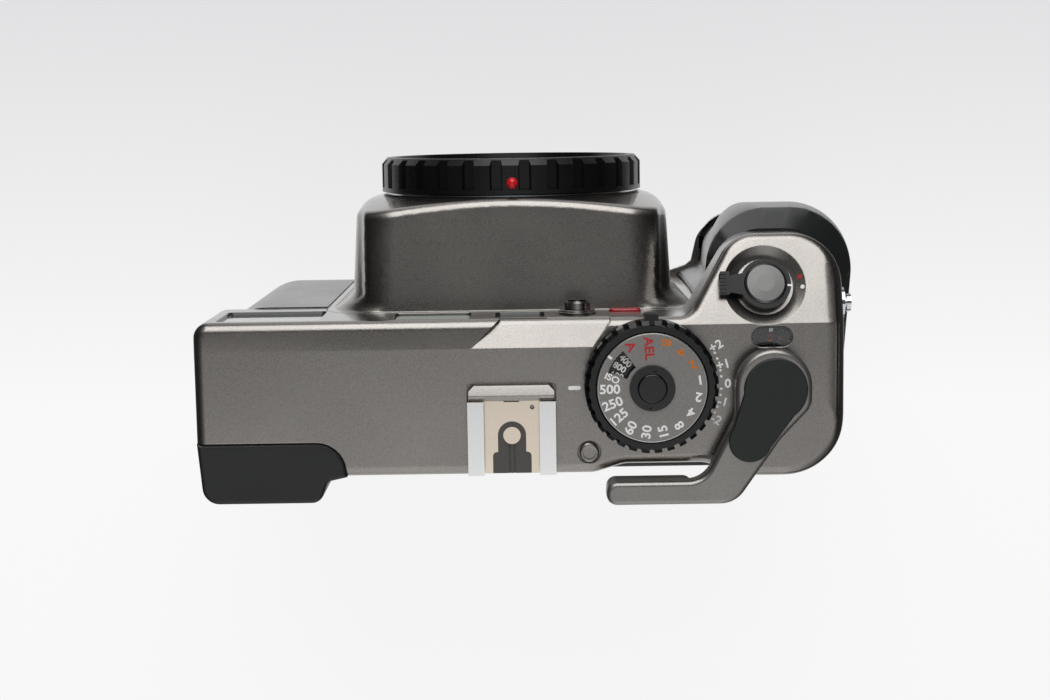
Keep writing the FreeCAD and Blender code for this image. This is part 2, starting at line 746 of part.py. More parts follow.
def main_chassis():
    corners = [(chassis_left, chassis_rear, 2.0), (chassis_left, chassis_front, lower_front_radius - 1.8),
               (chassis_right, chassis_front, 1.0), (chassis_right, chassis_rear, 8.0)]
    block = plate(corners, chassis_bottom, chassis_top)
    tray = plate(top_outline(cover_wall + part_gap), chassis_top - 0.5, tray_top)
    tray = tray.common(box(left_x, chassis_right, chassis_rear, chassis_front, 0, tray_top + 1))
    block = block.fuse(tray)
    tools = []
    for x in (supply_x, take_up_x):
        tools.append(disc(chamber_radius, x, chamber_y, chamber_bottom, chamber_top))
        tools.append(box(x - chamber_radius, x + chamber_radius, chassis_rear - 1, chamber_y,
                         chamber_bottom, chamber_top))
    gate_low = axis_z - gate_height / 2
    gate_high = axis_z + gate_height / 2
    half_gate = gate_width / 2
    tools.append(box(-half_gate, half_gate, chassis_rear - 1, chassis_front + 1, gate_low, gate_high))
    tools.append(box(supply_x - chamber_radius, take_up_x + chamber_radius, chassis_rear - 1, land_y,
                     chamber_bottom, chamber_top))
    tools.append(housing_room())
    block = drop(block, tools)
    rails = []
    land_left = supply_x + chamber_radius
    land_right = take_up_x - chamber_radius
    for side in (-1, 1):
        near = axis_z + side * (gate_height / 2 + 0.3)
        far = near + side * rail_width
        rails.append(box(land_left, land_right, film_y, land_y + 0.5, min(near, far), max(near, far)))
        near = far + side * 0.7
        far = axis_z + side * (chamber_height / 2 + 0.5)
        rails.append(box(land_left, land_right, film_y - 0.4, land_y + 0.5, min(near, far), max(near, far)))
    block = unite([block] + rails + hinge_arms() + follower_ears() + [idler_post()])
    tools = []
    for x in roller_places():
        tools.append(disc(roller_radius + 0.4, x, roller_y, chamber_bottom + 2.5, chamber_top - 2.5))
        tools.append(disc(1.0 + running_gap, x, roller_y, chamber_bottom + 0.8, chamber_top - 0.8))
    tools.append(disc(3.0, curtain_x, curtain_y, chassis_bottom + 9.5, tray_top - 3))
    tools.append(disc(1.5 + running_gap, curtain_x, curtain_y, chassis_bottom - 1, tray_top - 2))
    tools.append(box(curtain_x, -half_gate + 0.5, curtain_y + 2.0, curtain_y + 2.8, gate_low, gate_high))
    tools.append(disc(3.0 + running_gap, take_up_x, chamber_y, chamber_top - 1, tray_top + 1))
    tools.append(disc(2.0 + running_gap, supply_x, chamber_y, chamber_top - 1, tray_top + 1))
    for x in (supply_x, take_up_x):
        tools.append(disc(4.0 + running_gap, x, chamber_y, chassis_bottom + 1.5, chamber_bottom + 1))
    tools.append(disc(6.05, 0, 0, chassis_bottom - 1, tripod_depth + 2.1))
    tools.append(disc(1.0 + running_gap, rangefinder_x, mirror_y, tray_top - 3.0, tray_top + 1))
    tools.append(disc_x(1.0 + running_gap, follower_y, follower_z, 4, 24))
    tools.append(box(chassis_left - 1, chassis_left + 1.4, -5.0, 4.1, 53.0, 73.5))
    tools.append(disc(door_pin_radius + 0.02, door_pin_x, door_pin_y, 0, chassis_top))
    tools += screw_holes(1.25)
    return drop(block, tools)


def housing_room():
    return box(left_x - 1, housing_right_x + 0.4, rear_y - 9, housing_front_y + 0.1,
               chassis_top, tray_top + 1)


def roller_places():
    return [supply_x + chamber_radius + 2.6, take_up_x - chamber_radius - 2.9]


def hinge_arms():
    arms = []
    for low, high in ((12.0, 24.0), (66.0, 78.0)):
        knuckle = disc(knuckle_radius, door_pin_x, door_pin_y, low, high)
        arm = box(take_up_x + chamber_radius, door_pin_x + 3.0, door_pin_y, chassis_rear + 7, low, high)
        arms.append(unite([knuckle, arm]))
    return arms


def follower_ears():
    ears = []
    for x in (follower_x - 4.2, follower_x + 2.2):
        ears.append(box(x, x + 2.0, chassis_front - 1, follower_y + 2.0, follower_z - 2.0,
                        follower_z + 1.9))
    return ears


def idler_post():
    return disc(1.5, idler_x, chamber_y, tray_top - 1, tray_top + 10.6)


def gear(teeth, module, thickness, bore, phase, z):
    """Spur gear with trapezoid teeth, centred on the origin, one tooth at the phase angle."""
    pitch_radius = module * teeth / 2
    root = pitch_radius - 1.05 * module
    tip = pitch_radius + 0.8 * module
    pitch = 2 * math.pi / teeth
    points = []
    for i in range(teeth):
        middle = math.radians(phase) + i * pitch
        for offset, radius in ((-0.30, root), (-0.13, tip), (0.13, tip), (0.30, root)):
            angle = middle + offset * pitch
            points.append(Vector(radius * math.cos(angle), radius * math.sin(angle), z))
    face = Part.Face(Part.makePolygon(points + points[:1]))
    return face.extrude(Vector(0, 0, thickness)).cut(disc(bore, 0, 0, z - 1, z + thickness + 1))


def idler_gears():
    bore = 1.5 + running_gap
    big = gear(idler_large_teeth, idler_module, gear_thickness, bore, 0, lower_gear_z)
    small = gear(idler_small_teeth, gear_module, gear_thickness, bore, 180 / idler_small_teeth,
                 upper_gear_z)
    sleeve = tube(2.9, bore, 0, 0, lower_gear_z + gear_thickness, upper_gear_z)
    both = unite([big, sleeve, small])
    both.translate(Vector(idler_x, chamber_y, 0))
    return both


def take_up_key():
    z = lower_gear_z
    wheel = gear(take_up_teeth, idler_module, gear_thickness, 1.5, 180 + 180 / take_up_teeth, z)
    shaft = tube(3.0, 1.5, 0, 0, chamber_top + 0.1, z)
    upper = tube(3.4, 1.5, 0, 0, z + gear_thickness, z + gear_thickness + 2.6)
    flange = disc(6.0, 0, 0, chamber_top - 1.0, chamber_top - 0.2)
    neck = disc(3.0, 0, 0, chamber_top - 0.3, chamber_top + 1)
    blade = box(-4.0, 4.0, -0.7, 0.7, chamber_top - 4.0, chamber_top - 0.9)
    core = disc(2.2, 0, 0, chamber_top - 4.0, chamber_top - 0.9)
    key = unite([wheel, shaft, upper, neck, flange, blade, core])
    key.translate(Vector(take_up_x, chamber_y, 0))
    return key


def lever_shaft():
    z = upper_gear_z
    wheel = gear(lever_teeth, gear_module, gear_thickness, 1.0, 180, z)
    low = lower_gear_z + gear_thickness + 2.8
    shaft = disc(lever_shaft_radius, 0, 0, low, lever_top_z - lever_thickness)
    pilot = disc(1.5 - running_gap, 0, 0, low - 3.5, low + 0.5)
    shoulder = disc(4.4, 0, 0, z + gear_thickness, counter_z - 0.2)
    collar = disc(5.0, 0, 0, deck_z + 0.2, lever_top_z - lever_thickness)
    return placed(unite([wheel, shaft, pilot, shoulder, collar]), take_up_x, chamber_y)


def placed(shape, x, y):
    shape.translate(Vector(x, y, 0))
    return shape


def counter_disc():
    disc_shape = tube(counter_radius, lever_shaft_radius + running_gap, 0, 0, counter_z, counter_z + 0.8)
    ratchet = tube(6.2, lever_shaft_radius + running_gap, 0, 0, counter_z + 0.8, counter_z + 1.3)
    return placed(unite([disc_shape, ratchet]), take_up_x, chamber_y)


def counter_window():
    gap = 0.05
    return stadium(take_up_x + 0.3, counter_y, counter_length - 2 * gap, counter_width - 2 * gap,
                   deck_under_z + 0.4, deck_z - 0.25)


def supply_key():
    flange = disc(6.0, 0, 0, chamber_top - 1.0, chamber_top - 0.2)
    blade = box(-4.0, 4.0, -0.7, 0.7, chamber_top - 4.0, chamber_top - 0.9)
    core = disc(2.2, 0, 0, chamber_top - 4.0, chamber_top - 0.9)
    shaft = disc(2.0, 0, 0, chamber_top - 0.3, tray_top + 0.6)
    washer = disc(4.0, 0, 0, tray_top + 0.15, tray_top + 0.9)
    return placed(unite([flange, blade, core, shaft, washer]), supply_x, chamber_y)


def spool_stud(x):
    low = chassis_bottom + 5.5
    top = chamber_bottom + 2.2
    points = [(0, low), (4.0, low), (4.0, top - 1.0), (3.0, top), (0, top)]
    return turned(points, Vector(x, chamber_y, 0))


def film_roller(x):
    y = roller_y
    barrel = disc(roller_radius, x, y, chamber_bottom + 2.7, chamber_top - 2.7)
    waist = tube(roller_radius + 1, roller_radius - 0.35, x, y, axis_z - gate_height / 2,
                 axis_z + gate_height / 2)
    pins = disc(1.0, x, y, chamber_bottom + 1.0, chamber_top - 1.0)
    return drop(barrel, [waist]).fuse(pins)


def curtain_key():
    head = disc(6.1, curtain_x, curtain_y, 0.3, base_thickness - 0.1)
    grip_cut = box(curtain_x - 7, curtain_x + 7, curtain_y + 0.9, curtain_y + 7, -1, 1.3)
    other_cut = box(curtain_x - 7, curtain_x + 7, curtain_y - 7, curtain_y - 0.9, -1, 1.3)
    head = drop(head, [grip_cut, other_cut])
    stem = disc(1.5, curtain_x, curtain_y, 1.5, tray_top - 2.2)
    return unite([head, stem])


def curtain_blind():
    low = axis_z - gate_height / 2 - 1
    high = axis_z + gate_height / 2 + 1
    return tube(2.55, 1.52, curtain_x, curtain_y, low, high)


def base_outline(inset):
    return [(left_x + inset, chassis_rear + inset - 0.6, 3.0),
            (left_x + inset, front_y - inset, lower_front_radius - inset),
            (base_neck_x, front_y - inset, base_neck_radius),
            (base_neck_x + 4.0 + inset, base_front_y - inset, lobe_left_radius),
            (base_right_x - inset, base_front_y - inset, lobe_right_radius),
            (base_right_x - 1.5 - inset, grip_rear_y - 0.8, 5.0),
            (chassis_right - inset, chassis_rear + inset - 0.6, 7.0)]


def screw_places():
    return [(-64.0, -12.5), (-18.0, -12.5), (24.0, -12.5), (66.0, -6.0), (-60.0, 8.5), (30.0, 9.0)]


def screw_holes(radius):
    return [disc(radius, x, y, -1, 9.5) for x, y in screw_places()]


def base_cover():
    cover = plate(base_outline(0), 0, base_thickness)
    lower = edges_where(cover, lambda e: e.BoundBox.ZMax < 0.01)
    cover = cover.makeFillet(1.2, lower)
    tools = [disc(8.05, 0, 0, -1, 9), disc(6.4, curtain_x, curtain_y, -1, 9),
             disc(battery_radius + 2.8, battery_x, battery_y, -1, 9)]
    tools += screw_holes(1.25)
    tools += [disc(2.3, x, y, -1, 1.5) for x, y in screw_places()]
    return drop(cover, tools)


def base_screws():
    screws = []
    for x, y in screw_places():
        head = disc(2.2, x, y, 0.3, 1.48)
        stem = disc(1.2, x, y, 1.4, 9.0)
        slots = [box(x - 1.5, x + 1.5, y - 0.25, y + 0.25, 0, 0.9),
                 box(x - 0.25, x + 0.25, y - 1.5, y + 1.5, 0, 0.9)]
        screws.append(drop(unite([head, stem]), slots))
    return Part.makeCompound(screws)


def tripod_bush():
    flange = disc(8.0, 0, 0, 0, base_thickness)
    barrel = disc(6.0, 0, 0, base_thickness - 0.1, tripod_depth + 2.0)
    return drop(unite([flange, barrel]), [disc(tripod_radius, 0, 0, -1, tripod_depth)])


def battery_cover():
    cover = disc(battery_radius + 2.6, battery_x, battery_y, 0.2, base_thickness - 0.1)
    slot = box(battery_x - 6, battery_x + 6, battery_y - 0.8, battery_y + 0.8, -1, 1.2)
    return drop(cover, [slot])


def battery():
    low = base_thickness + 0.5
    can = disc(battery_radius, battery_x, battery_y, low, low + battery_length - 1)
    nub = disc(2.6, battery_x, battery_y, low + battery_length - 1, low + battery_length)
    return unite([can, nub])


def grip_section(z, left, bulge_left, front, right, left_radius, right_radius):
    return rounded_wire([(skin_right_x + 0.2, 0.0, 0.5), (left, front_y + 0.6, 1.0),
                         (bulge_left, front, left_radius), (right, front, right_radius),
                         (right - 4.0, grip_rear_y, 2.0), (take_up_x + 1.1, grip_rear_y, 0.5)], z)


def hand_grip():
    left = skin_right_x + 0.3
    deep = grip_front_y
    wide = grip_right_x
    brow = grip_section(grip_brow_z, left - 1.4, left + 0.6, deep - 0.4, wide - 1.4, 14.0, 15.0)
    sections = [grip_section(chassis_bottom, left, left + 2.2, deep - 6.4, wide - 4.6, 9.0, 12.0),
                grip_section(grip_waist_z, left, left + 2.0, deep - 3.4, wide - 2.0, 10.0, 13.0),
                grip_section(grip_bulge_z, left - 0.9, left + 2.2, deep, wide, 9.0, 14.0), brow]
    rim = grip_section(lobe_seam_z - part_gap, left - 1.0, lobe_left_x + 0.6, lobe_front_y + 0.6,
                       lobe_right_x + 1.2, lobe_left_radius + 0.5, lobe_right_radius + 0.5)
    grip = Part.makeLoft(sections, True, False).fuse(Part.makeLoft([brow, rim], True, True))
    room = box(lobe_start_x - 9, chassis_right + 0.15, rear_y - 9, chassis_front + 0.15, -5, deck_z)
    front_room = box(lobe_start_x - 9, skin_right_x + 0.15, rear_y - 9, front_y + 0.3, -5, deck_z)
    bore = disc(battery_radius + 0.3, battery_x, battery_y, 0, base_thickness + battery_length + 1.2)
    return drop(grip, [room, front_room, bore])


def eyepiece_housing():
    low = rear_seam_z + 0.4
    high = deck_z - 0.5
    body = plate(housing_outline(0), low, high)
    top = edges_where(body, lambda e: e.BoundBox.ZMin > high - 0.01 and e.BoundBox.YMin < -13.0
                      and e.BoundBox.YMax < -12.0)
    body = body.makeFillet(1.0, top)
    mid = (low + high) / 2
    tunnel = window_block(eyepiece_x, mid + 0.3, eyepiece_width, eyepiece_height, 2.0,
                          housing_rear_y - 5, housing_front_y + 6)
    bezel = window_block(eyepiece_x, mid + 0.3, eyepiece_width + 6.0, eyepiece_height + 3.5, 3.0,
                         housing_rear_y - 5, housing_rear_y + 1.2)
    return drop(body, [tunnel, bezel])


def eyepiece_lens():
    mid = (rear_seam_z + 0.4 + deck_z - 0.5) / 2
    return window_block(eyepiece_x, mid + 0.3, eyepiece_width - 0.1, eyepiece_height - 0.1, 1.95,
                        housing_rear_y + 1.6, housing_rear_y + 4.0)


def finder_block():
    low = tray_top + 0.1
    front = window_block(-56.3, 93.6, 19.0, 14.6, 1.0, 4.0, 13.6)
    front = front.common(box(-80, 0, -20, 20, low, deck_under_z - 0.3))
    rear = window_block(-56.5, 93.4, 14.0, 11.0, 1.0, -10.6, 4.5)
    foot = box(-63, -50, -6, 10, low, low + 4.0)
    splitter = box(-50.5, -34.0, -1.0, 8.0, low, 98.5)
    key_room = disc(4.6, supply_x, chamber_y, low - 1, tray_top + 1.4)
    return drop(unite([front, rear, foot, splitter]), [key_room])


def circuit_board():
    """Exposure and dial circuit on four posts of the tray, below the deck."""
    top = tray_top + board_rise
    board = rounded_box(board_left_x, board_left_x + board_width, board_rear_y, board_rear_y + board_length,
                        top - board_thickness, top, 1.0)
    pieces = [board]
    for x in (board_left_x + 2, board_left_x + board_width - 2):
        for y in (board_rear_y + 2, board_rear_y + board_length - 2):
            pieces.append(disc(1.4, x, y, tray_top + 0.1, top - 0.5))
    middle_x = board_left_x + board_width / 2
    for y, size, height in ((board_rear_y + 9, 9.0, 1.8), (board_rear_y + 18, 5.0, 1.2)):
        pieces.append(box(middle_x - size / 2, middle_x + size / 2, y - size / 2, y + size / 2,
                          top - 0.2, top + height))
    pieces.append(disc(2.2, board_left_x + 3.2, board_rear_y + 18, top - 0.2, top + 5.0))
    return unite(pieces)


def rangefinder_mirror():
    plate_shape = box(-6.5, 6.5, -0.6, 0.6, tray_top + 0.6, tray_top + 12.6)
    carrier = disc(3.4, 0, 0, tray_top + 0.1, tray_top + 0.7)
    pin = disc(1.0, 0, 0, tray_top - 2.5, tray_top + 0.5)
    plate_shape.rotate(Vector(0, 0, 0), Vector(0, 0, 1), 45)
    mirror = unite([plate_shape, carrier, pin])
    return placed(mirror, rangefinder_x, mirror_y)


def rangefinder_arm():
    y = follower_y
    z = follower_z
    x = follower_x
    tip_y = flange_y - 6.6
    tip_z = axis_z + throat_radius - 1.2
    lever = side_profile([(y - 1.4, z + 1.3), (y + 2.0, z + 1.3), (tip_y + 1.0, tip_z + 1.4),
                          (tip_y - 1.0, tip_z - 1.4), (y - 1.4, z - 1.4)], x - 1.4, x + 1.4)
    pins = disc_x(1.0, y, z, x - 4.0, x + 4.0)
    hub = disc_x(1.7, y, z, x - 1.9, x + 1.9)
    roller = disc_x(2.2, tip_y, tip_z, x - 1.8, x + 1.8)
    return unite([lever, pins, hub, roller])


def sync_terminal():
    """Stepped flange and collar round a coaxial socket. Profile from the stem's end outwards."""
    collar = terminal_radius
    profile = [(0, -2.2), (2.35, -2.2), (2.35, 0.05), (collar + 1.4, 0.05), (collar + 1.4, 0.35),
               (collar + 1.15, 0.55), (collar + 1.15, 0.8), (collar + 0.9, 1.0), (collar, 1.0),
               (collar, terminal_rise - 0.4), (collar - 0.4, terminal_rise), (2.3, terminal_rise),
               (2.3, 1.2), (1.0, 1.2), (1.0, terminal_rise - 0.3), (0.7, terminal_rise),
               (0.45, terminal_rise), (0.45, 1.4), (0, 1.4)]
    return turned(profile, None, along_y(terminal_x, front_y, terminal_z))


def strap_lugs():
    right = lobe_right_x + 0.05
    left = left_x - 0.05
    lugs = []
    for side, x, y, z in ((1, right, right_lug_y, right_lug_z), (-1, left, left_lug_y, left_lug_z)):
        parts = []
        for radius, near, far in ((strap_radius, 0, 0.9), (1.4, 0, 2.2), (2.1, 1.6, 2.6)):
            low, high = sorted((x + side * near, x + side * far))
            parts.append(disc_x(radius, y, z, low, high))
        lugs.append(unite(parts))
    return Part.makeCompound(lugs)


def shoe_floor():
    half = shoe_half - 0.02
    rear = shoe_front_y - shoe_length
    floor = box(shoe_x - half, shoe_x + half, rear, shoe_front_y, deck_z - 0.78, deck_z)
    notch = box(shoe_x - 1.8, shoe_x + 1.8, shoe_front_y - 0.5, shoe_front_y + 1, deck_z - 2, deck_z + 1)
    lock = disc(0.55, shoe_x + 4.7, shoe_front_y - 1.7, deck_z - 2, deck_z + 1)
    return drop(floor, [notch, lock, insulator_solid(0.03, deck_z - 2, deck_z + 1)])


def insulator_solid(gap, z0, z1):
    rear = shoe_front_y - shoe_length
    centre_y = shoe_front_y - 8.2
    head = disc(3.2 + gap, shoe_x, centre_y, z0, z1)
    strip = box(shoe_x - 3.2 - gap, shoe_x + 3.2 + gap, rear - 1, centre_y, z0, z1)
    foot = plate([(shoe_x - 4.4 - gap, rear - 1, 0), (shoe_x + 4.4 + gap, rear - 1, 0),
                  (shoe_x + 4.4 + gap, centre_y - 3.9 + gap, 1.0),
                  (shoe_x - 4.4 - gap, centre_y - 3.9 + gap, 1.0)], z0, z1)
    return unite([head, strip, foot])


def shoe_insulator():
    rear = shoe_front_y - shoe_length
    body = insulator_solid(0, deck_z - 0.76, deck_z + 0.05)
    body = body.common(box(-30, 30, rear, 10, 0, 200))
    tools = [disc(2.03, shoe_x, shoe_front_y - 8.2, deck_z - 2, deck_z + 2)]
    for x in (shoe_x - 0.55, shoe_x + 0.55):
        tools.append(box(x - 0.18, x + 0.18, rear - 1, shoe_front_y - 10.4, deck_z - 0.3, deck_z + 1))
    return drop(body, tools)


def shoe_contact():
    return disc(2.0, shoe_x, shoe_front_y - 8.2, deck_z - 0.76, deck_z + 0.3)


def shoe_rails():
    rear = shoe_front_y - shoe_length
    lip_low = deck_z + shoe_slot
    rails = []
    for side in (-1, 1):
        wall_in = shoe_x + side * shoe_half
        wall_out = wall_in + side * shoe_wall
        lip_in = shoe_x + side * shoe_opening / 2
        profile = box(min(wall_in, wall_out), max(wall_in, wall_out), rear, shoe_front_y, deck_z - 0.78,
                      lip_low + shoe_lip)
        lip = box(min(lip_in, wall_out), max(lip_in, wall_out), rear, shoe_front_y, lip_low,
                  lip_low + shoe_lip)
        rails.append(unite([profile, lip]).removeSplitter())
    return Part.makeCompound(rails)


def shoe_bar():
    half = shoe_half + shoe_wall - 0.1
    top = deck_z + shoe_slot + shoe_lip - 0.1
    front = shoe_front_y + 3.65
    bar = plate([(shoe_x - half, shoe_front_y + 0.05, 0.2), (shoe_x + half, shoe_front_y + 0.05, 0.2),
                 (shoe_x + half, front - 1.2, 0.6), (shoe_x + half - 1.2, front, 0.6),
                 (shoe_x - half + 1.2, front, 0.6), (shoe_x - half, front - 1.2, 0.6)],
                deck_z - 0.78, top)
    ledge = side_profile([(shoe_front_y - 1, top - 1.4), (shoe_front_y, top - 0.9),
                          (shoe_front_y + 1.35, top - 0.35), (shoe_front_y + 1.35, top + 1),
                          (shoe_front_y - 1, top + 1)], shoe_x - 20, shoe_x + 20)
    return drop(bar, [ledge])


def compensation_ring():
    floor = tube(ring_radius - 0.4, 6.0, 0, 0, deck_z + 0.2, deck_z + 1.1)
    points = [(ring_inner, deck_z + 0.2), (ring_radius, deck_z + 0.2), (ring_radius, ring_top_z - 0.9),
              (ring_radius - 0.9, ring_top_z), (ring_inner, ring_top_z)]
    wall = turned(points, Vector())
    pitch = 2 * math.pi * ring_radius / ring_teeth
    half = pitch * 0.21
    slot = box(ring_radius - 1.1, ring_radius + 1, -half, half, deck_z + 1.4, ring_top_z + 1)
    slots = around(slot, ring_teeth, Vector(), Vector(0, 0, 1))
    wall = drop(wall, slots)
    tab = plate([(-1.55, ring_inner + 0.4, 0), (1.55, ring_inner + 0.4, 0), (1.55, ring_radius + 1.4, 0.4),
                 (-1.55, ring_radius + 1.4, 0.4)], deck_z + 1.0, ring_top_z - 0.9)
    return placed(unite([floor, wall, tab]), dial_x, dial_y)


def speed_dial():
    top = disc(dial_radius, 0, 0, dial_top_z - 1.6, dial_top_z)
    rim = edges_where(top, lambda e: e.BoundBox.ZMin > dial_top_z - 0.01)
    top = top.makeFillet(0.3, rim)
    skirt = tube(dial_radius, dial_radius - 0.9, 0, 0, deck_z + 1.6, dial_top_z - 1.0)
    shaft = disc(dial_shaft_radius, 0, 0, deck_z - 6, dial_top_z - 1.0)
    dial = unite([top, skirt, shaft])
    outer = disc(speed_window_outer, 0, 0, dial_top_z - 3, dial_top_z + 1)
    sector = [Vector(0, 0, dial_top_z - 3)]
    for angle in (speed_window_from, speed_window_to):
        sector.append(Vector(30 * math.cos(math.radians(angle)), 30 * math.sin(math.radians(angle)),
                             dial_top_z - 3))
    wedge = Part.Face(Part.makePolygon(sector + sector[:1])).extrude(Vector(0, 0, 5))
    opening = outer.common(wedge).cut(disc(speed_window_inner, 0, 0, dial_top_z - 4, dial_top_z + 3))
    pocket = disc(lock_radius + 0.1, 0, 0, dial_top_z - 1.2, dial_top_z + 1)
    bore = disc(1.5 + running_gap, 0, 0, deck_z + 0.5, dial_top_z + 1)
    return placed(drop(dial, [opening, pocket, bore]), dial_x, dial_y)


def dial_hub():
    hub = tube(hub_radius, lock_radius + 0.1, 0, 0, dial_top_z + 0.01, dial_top_z + 0.7)
    hole = disc(0.4, (hub_radius + lock_radius) / 2, 0, dial_top_z + 0.2, dial_top_z + 2)
    hole.rotate(Vector(), Vector(0, 0, 1), 83)
    holes = around(hole, 2, Vector(), Vector(0, 0, 1))
    return placed(drop(hub, holes), dial_x, dial_y)


def dial_lock():
    head = disc(lock_radius, 0, 0, dial_top_z - 0.3, dial_top_z + 1.1)
    rim = edges_where(head, lambda e: e.BoundBox.ZMin > dial_top_z + 1.0)
    head = head.makeFillet(0.35, rim)
    stem = disc(1.5, 0, 0, deck_z + 1.5, dial_top_z)
    return placed(unite([head, stem]), dial_x, dial_y)


def iso_disc():
    return placed(tube(dial_radius - 1.2, dial_shaft_radius + running_gap, 0, 0, dial_top_z - 2.9,
                       dial_top_z - 1.9), dial_x, dial_y)


def lever_outline(inset):
    head = lever_head_radius - inset
    cx = take_up_x
    cy = chamber_y
    inner = lever_tip_y + lever_tip_width - inset
    outer = lever_tip_y + inset
    return [(cx + head, cy + head, head - 0.02), (cx - head, cy + head, head - 0.02),
            (cx - head, cy - 6.9, 6.0), (lever_bend_x + inset * 0.6, inner, 6.0 + inset),
            (lever_tip_x + inset, inner, 2.5 - inset), (lever_tip_x + inset, outer, 2.5 - inset),
            (lever_heel_x - inset * 0.5, outer, 6.5),
            (cx + 1.6 - inset, lever_tip_y + lever_heel_rise, 10.0),
            (cx + head, cy - 4.5, 5.0)]


def pad_outline_solid(gap, z0, z1):
    head = Vector(take_up_x + 0.3, chamber_y - 0.6, 0)
    foot = Vector(pad_foot_x, pad_foot_y, 0)
    upper = disc(pad_radius + gap, head.x, head.y, z0, z1)
    lower = disc(pad_foot_radius + gap, foot.x, foot.y, z0, z1)
    along = (foot - head).normalize()
    across = Vector(-along.y, along.x, 0)
    corners = []
    for centre, radius, share in ((head, pad_radius, 0.97), (head, pad_radius, -0.94),
                                  (foot, pad_foot_radius, -0.94), (foot, pad_foot_radius, 0.97)):
        corner = centre + across * ((radius + gap) * share)
        corners.append((corner.x, corner.y, 0))
    return unite([upper, lower, plate(corners, z0, z1)])


def advance_lever():
    low = lever_top_z - lever_thickness + 0.02
    lever = plate(lever_outline(0), low, lever_top_z)
    rim = edges_where(lever, lambda e: e.BoundBox.ZMin > lever_top_z - 0.01)
    lever = lever.makeFillet(1.1, rim)
    tab = rounded_box(lever_tip_x + 0.3, lever_bend_x - 2.0, lever_tip_y + 0.4,
                      lever_tip_y + lever_tip_width - 0.3, lever_top_z - 9.0, low + 0.5, 2.2)
    pocket = pad_outline_solid(0.04, lever_top_z - 1.0, lever_top_z + 1)
    return drop(unite([lever, tab]), [pocket])


def lever_pad():
    pad = pad_outline_solid(0, lever_top_z - 0.98, lever_top_z + pad_height)
    pad = pad.removeSplitter()
    rim = edges_where(pad, lambda e: e.BoundBox.ZMin > lever_top_z + pad_height - 0.01)
    return pad.makeFillet(0.3, rim)


def lock_collar():
    ring = tube(collar_radius, button_radius + 0.12, 0, 0, -dish_depth + 0.2, 1.5)
    arm = plate([(-8.6, -1.9, 0.3), (-4.9, -2.6, 0), (-4.9, 2.6, 0), (-8.6, 1.9, 0.3)], 0.35, 1.5)
    tab = plate([(-10.5, -2.75, 0.4), (-8.2, -2.75, 0.4), (-8.2, 2.75, 0.4), (-10.5, 2.75, 0.4)], 0.35, 2.4)
    arm = drop(arm, [disc(collar_radius - 0.3, 0, 0, -9, 9)])
    cuts = [box(-11, -10.1, y - 0.18, y + 0.18, 0, 3) for y in (-2.0, -1.2, -0.4, 0.4, 1.2, 2.0)]
    return on_release(drop(unite([ring, arm, tab]), cuts))


def shutter_button():
    points = [(0, -4.2), (button_radius, -4.2), (button_radius, 1.6), (button_radius - 0.5, 2.0),
              (2.0, 2.15), (0, 2.15)]
    return on_release(turned(points, Vector()))


def check_button():
    head = disc(check_radius, 0, 0, deck_z - 0.1, deck_z + 0.7)
    rim = edges_where(head, lambda e: e.BoundBox.ZMin > deck_z + 0.6)
    head = head.makeFillet(0.25, rim)
    stem = disc(1.5, 0, 0, deck_z - 4.0, deck_z)
    return placed(unite([head, stem]), check_x, check_y)


def lens_release():
    fall = (lens_release_reach - plateau_radius) * math.tan(math.radians(dome_slope))
    surface = flange_y - 0.3 - fall
    button = disc_y(release_hole_radius - 0.1, lens_release_x, lens_release_z, surface - 5.5,
                    surface + 2.2)
    rim = edges_where(button, lambda e: e.BoundBox.YMin > surface + 2.1)
    return button.makeFillet(0.6, rim)


def back_door():
    left = chassis_left
    right = door_pin_x - knuckle_radius - 0.3
    low = 5.0
    high = chassis_top
    door = window_block((left + right) / 2, (low + high) / 2, right - left, high - low, 4.0,
                        door_outer_y, door_inner_y)
    rim = edges_where(door, lambda e: e.BoundBox.YMax < door_outer_y + 0.01 and e.BoundBox.XMax < right - 1)
    door = door.makeFillet(1.6, rim)
    pocket = window_block(0, axis_z, 84.0, chamber_height + 2.0, 2.0, door_inner_y - 1.7, door_inner_y + 1)
    knuckle = disc(knuckle_radius, door_pin_x, door_pin_y, 24.3, 65.7)
    link = box(right - 2, door_pin_x, door_outer_y + 0.3, door_inner_y, 24.3, 65.7)
    door = unite([drop(door, [pocket]), knuckle, link])
    return drop(door, [disc(door_pin_radius + running_gap, door_pin_x, door_pin_y, 0, 100)])


def pressure_plate():
    front = film_y - 0.4 - 0.3
    body = window_block(0, axis_z, 78.0, chamber_height - 2.0, 1.5, front - 0.8, front)
    return body


def plate_spring():
    back = film_y - 0.7 - 0.8
    deep = door_inner_y - 1.1
    profile = [(back, axis_z - 8), (back, axis_z + 8), (deep, axis_z + 24), (deep, axis_z + 28),
               (deep - 0.2, axis_z + 28), (deep - 0.2, axis_z + 24), (back - 0.2, axis_z + 7),
               (back - 0.2, axis_z - 7), (deep - 0.2, axis_z - 24), (deep - 0.2, axis_z - 28),
               (deep, axis_z - 28), (deep, axis_z - 24)]
    return Part.makeCompound([side_profile(profile, x - 4, x + 4) for x in (-20, 20)])


def door_latch():
    knob = upright([(-77.4, 58.0, 1.0), (left_x - 0.4, 58.0, 0.2), (left_x - 0.4, 80.0, 0.2),
                    (-76.6, 80.0, 1.2)], -5.8, 4.9)
    ridges = [box(-78, -76.9, -4.8, 3.9, z, z + 0.5) for z in (61.0, 63.0, 65.0, 67.0)]
    knob = drop(knob, ridges)
    stem = box(left_x - 0.6, chassis_left + 0.3, -2.6, 1.7, 61.0, 70.5)
    foot = box(chassis_left + 0.2, chassis_left + 1.2, -4.6, 3.7, 59.0, 72.5)
    return unite([knob, stem, foot])


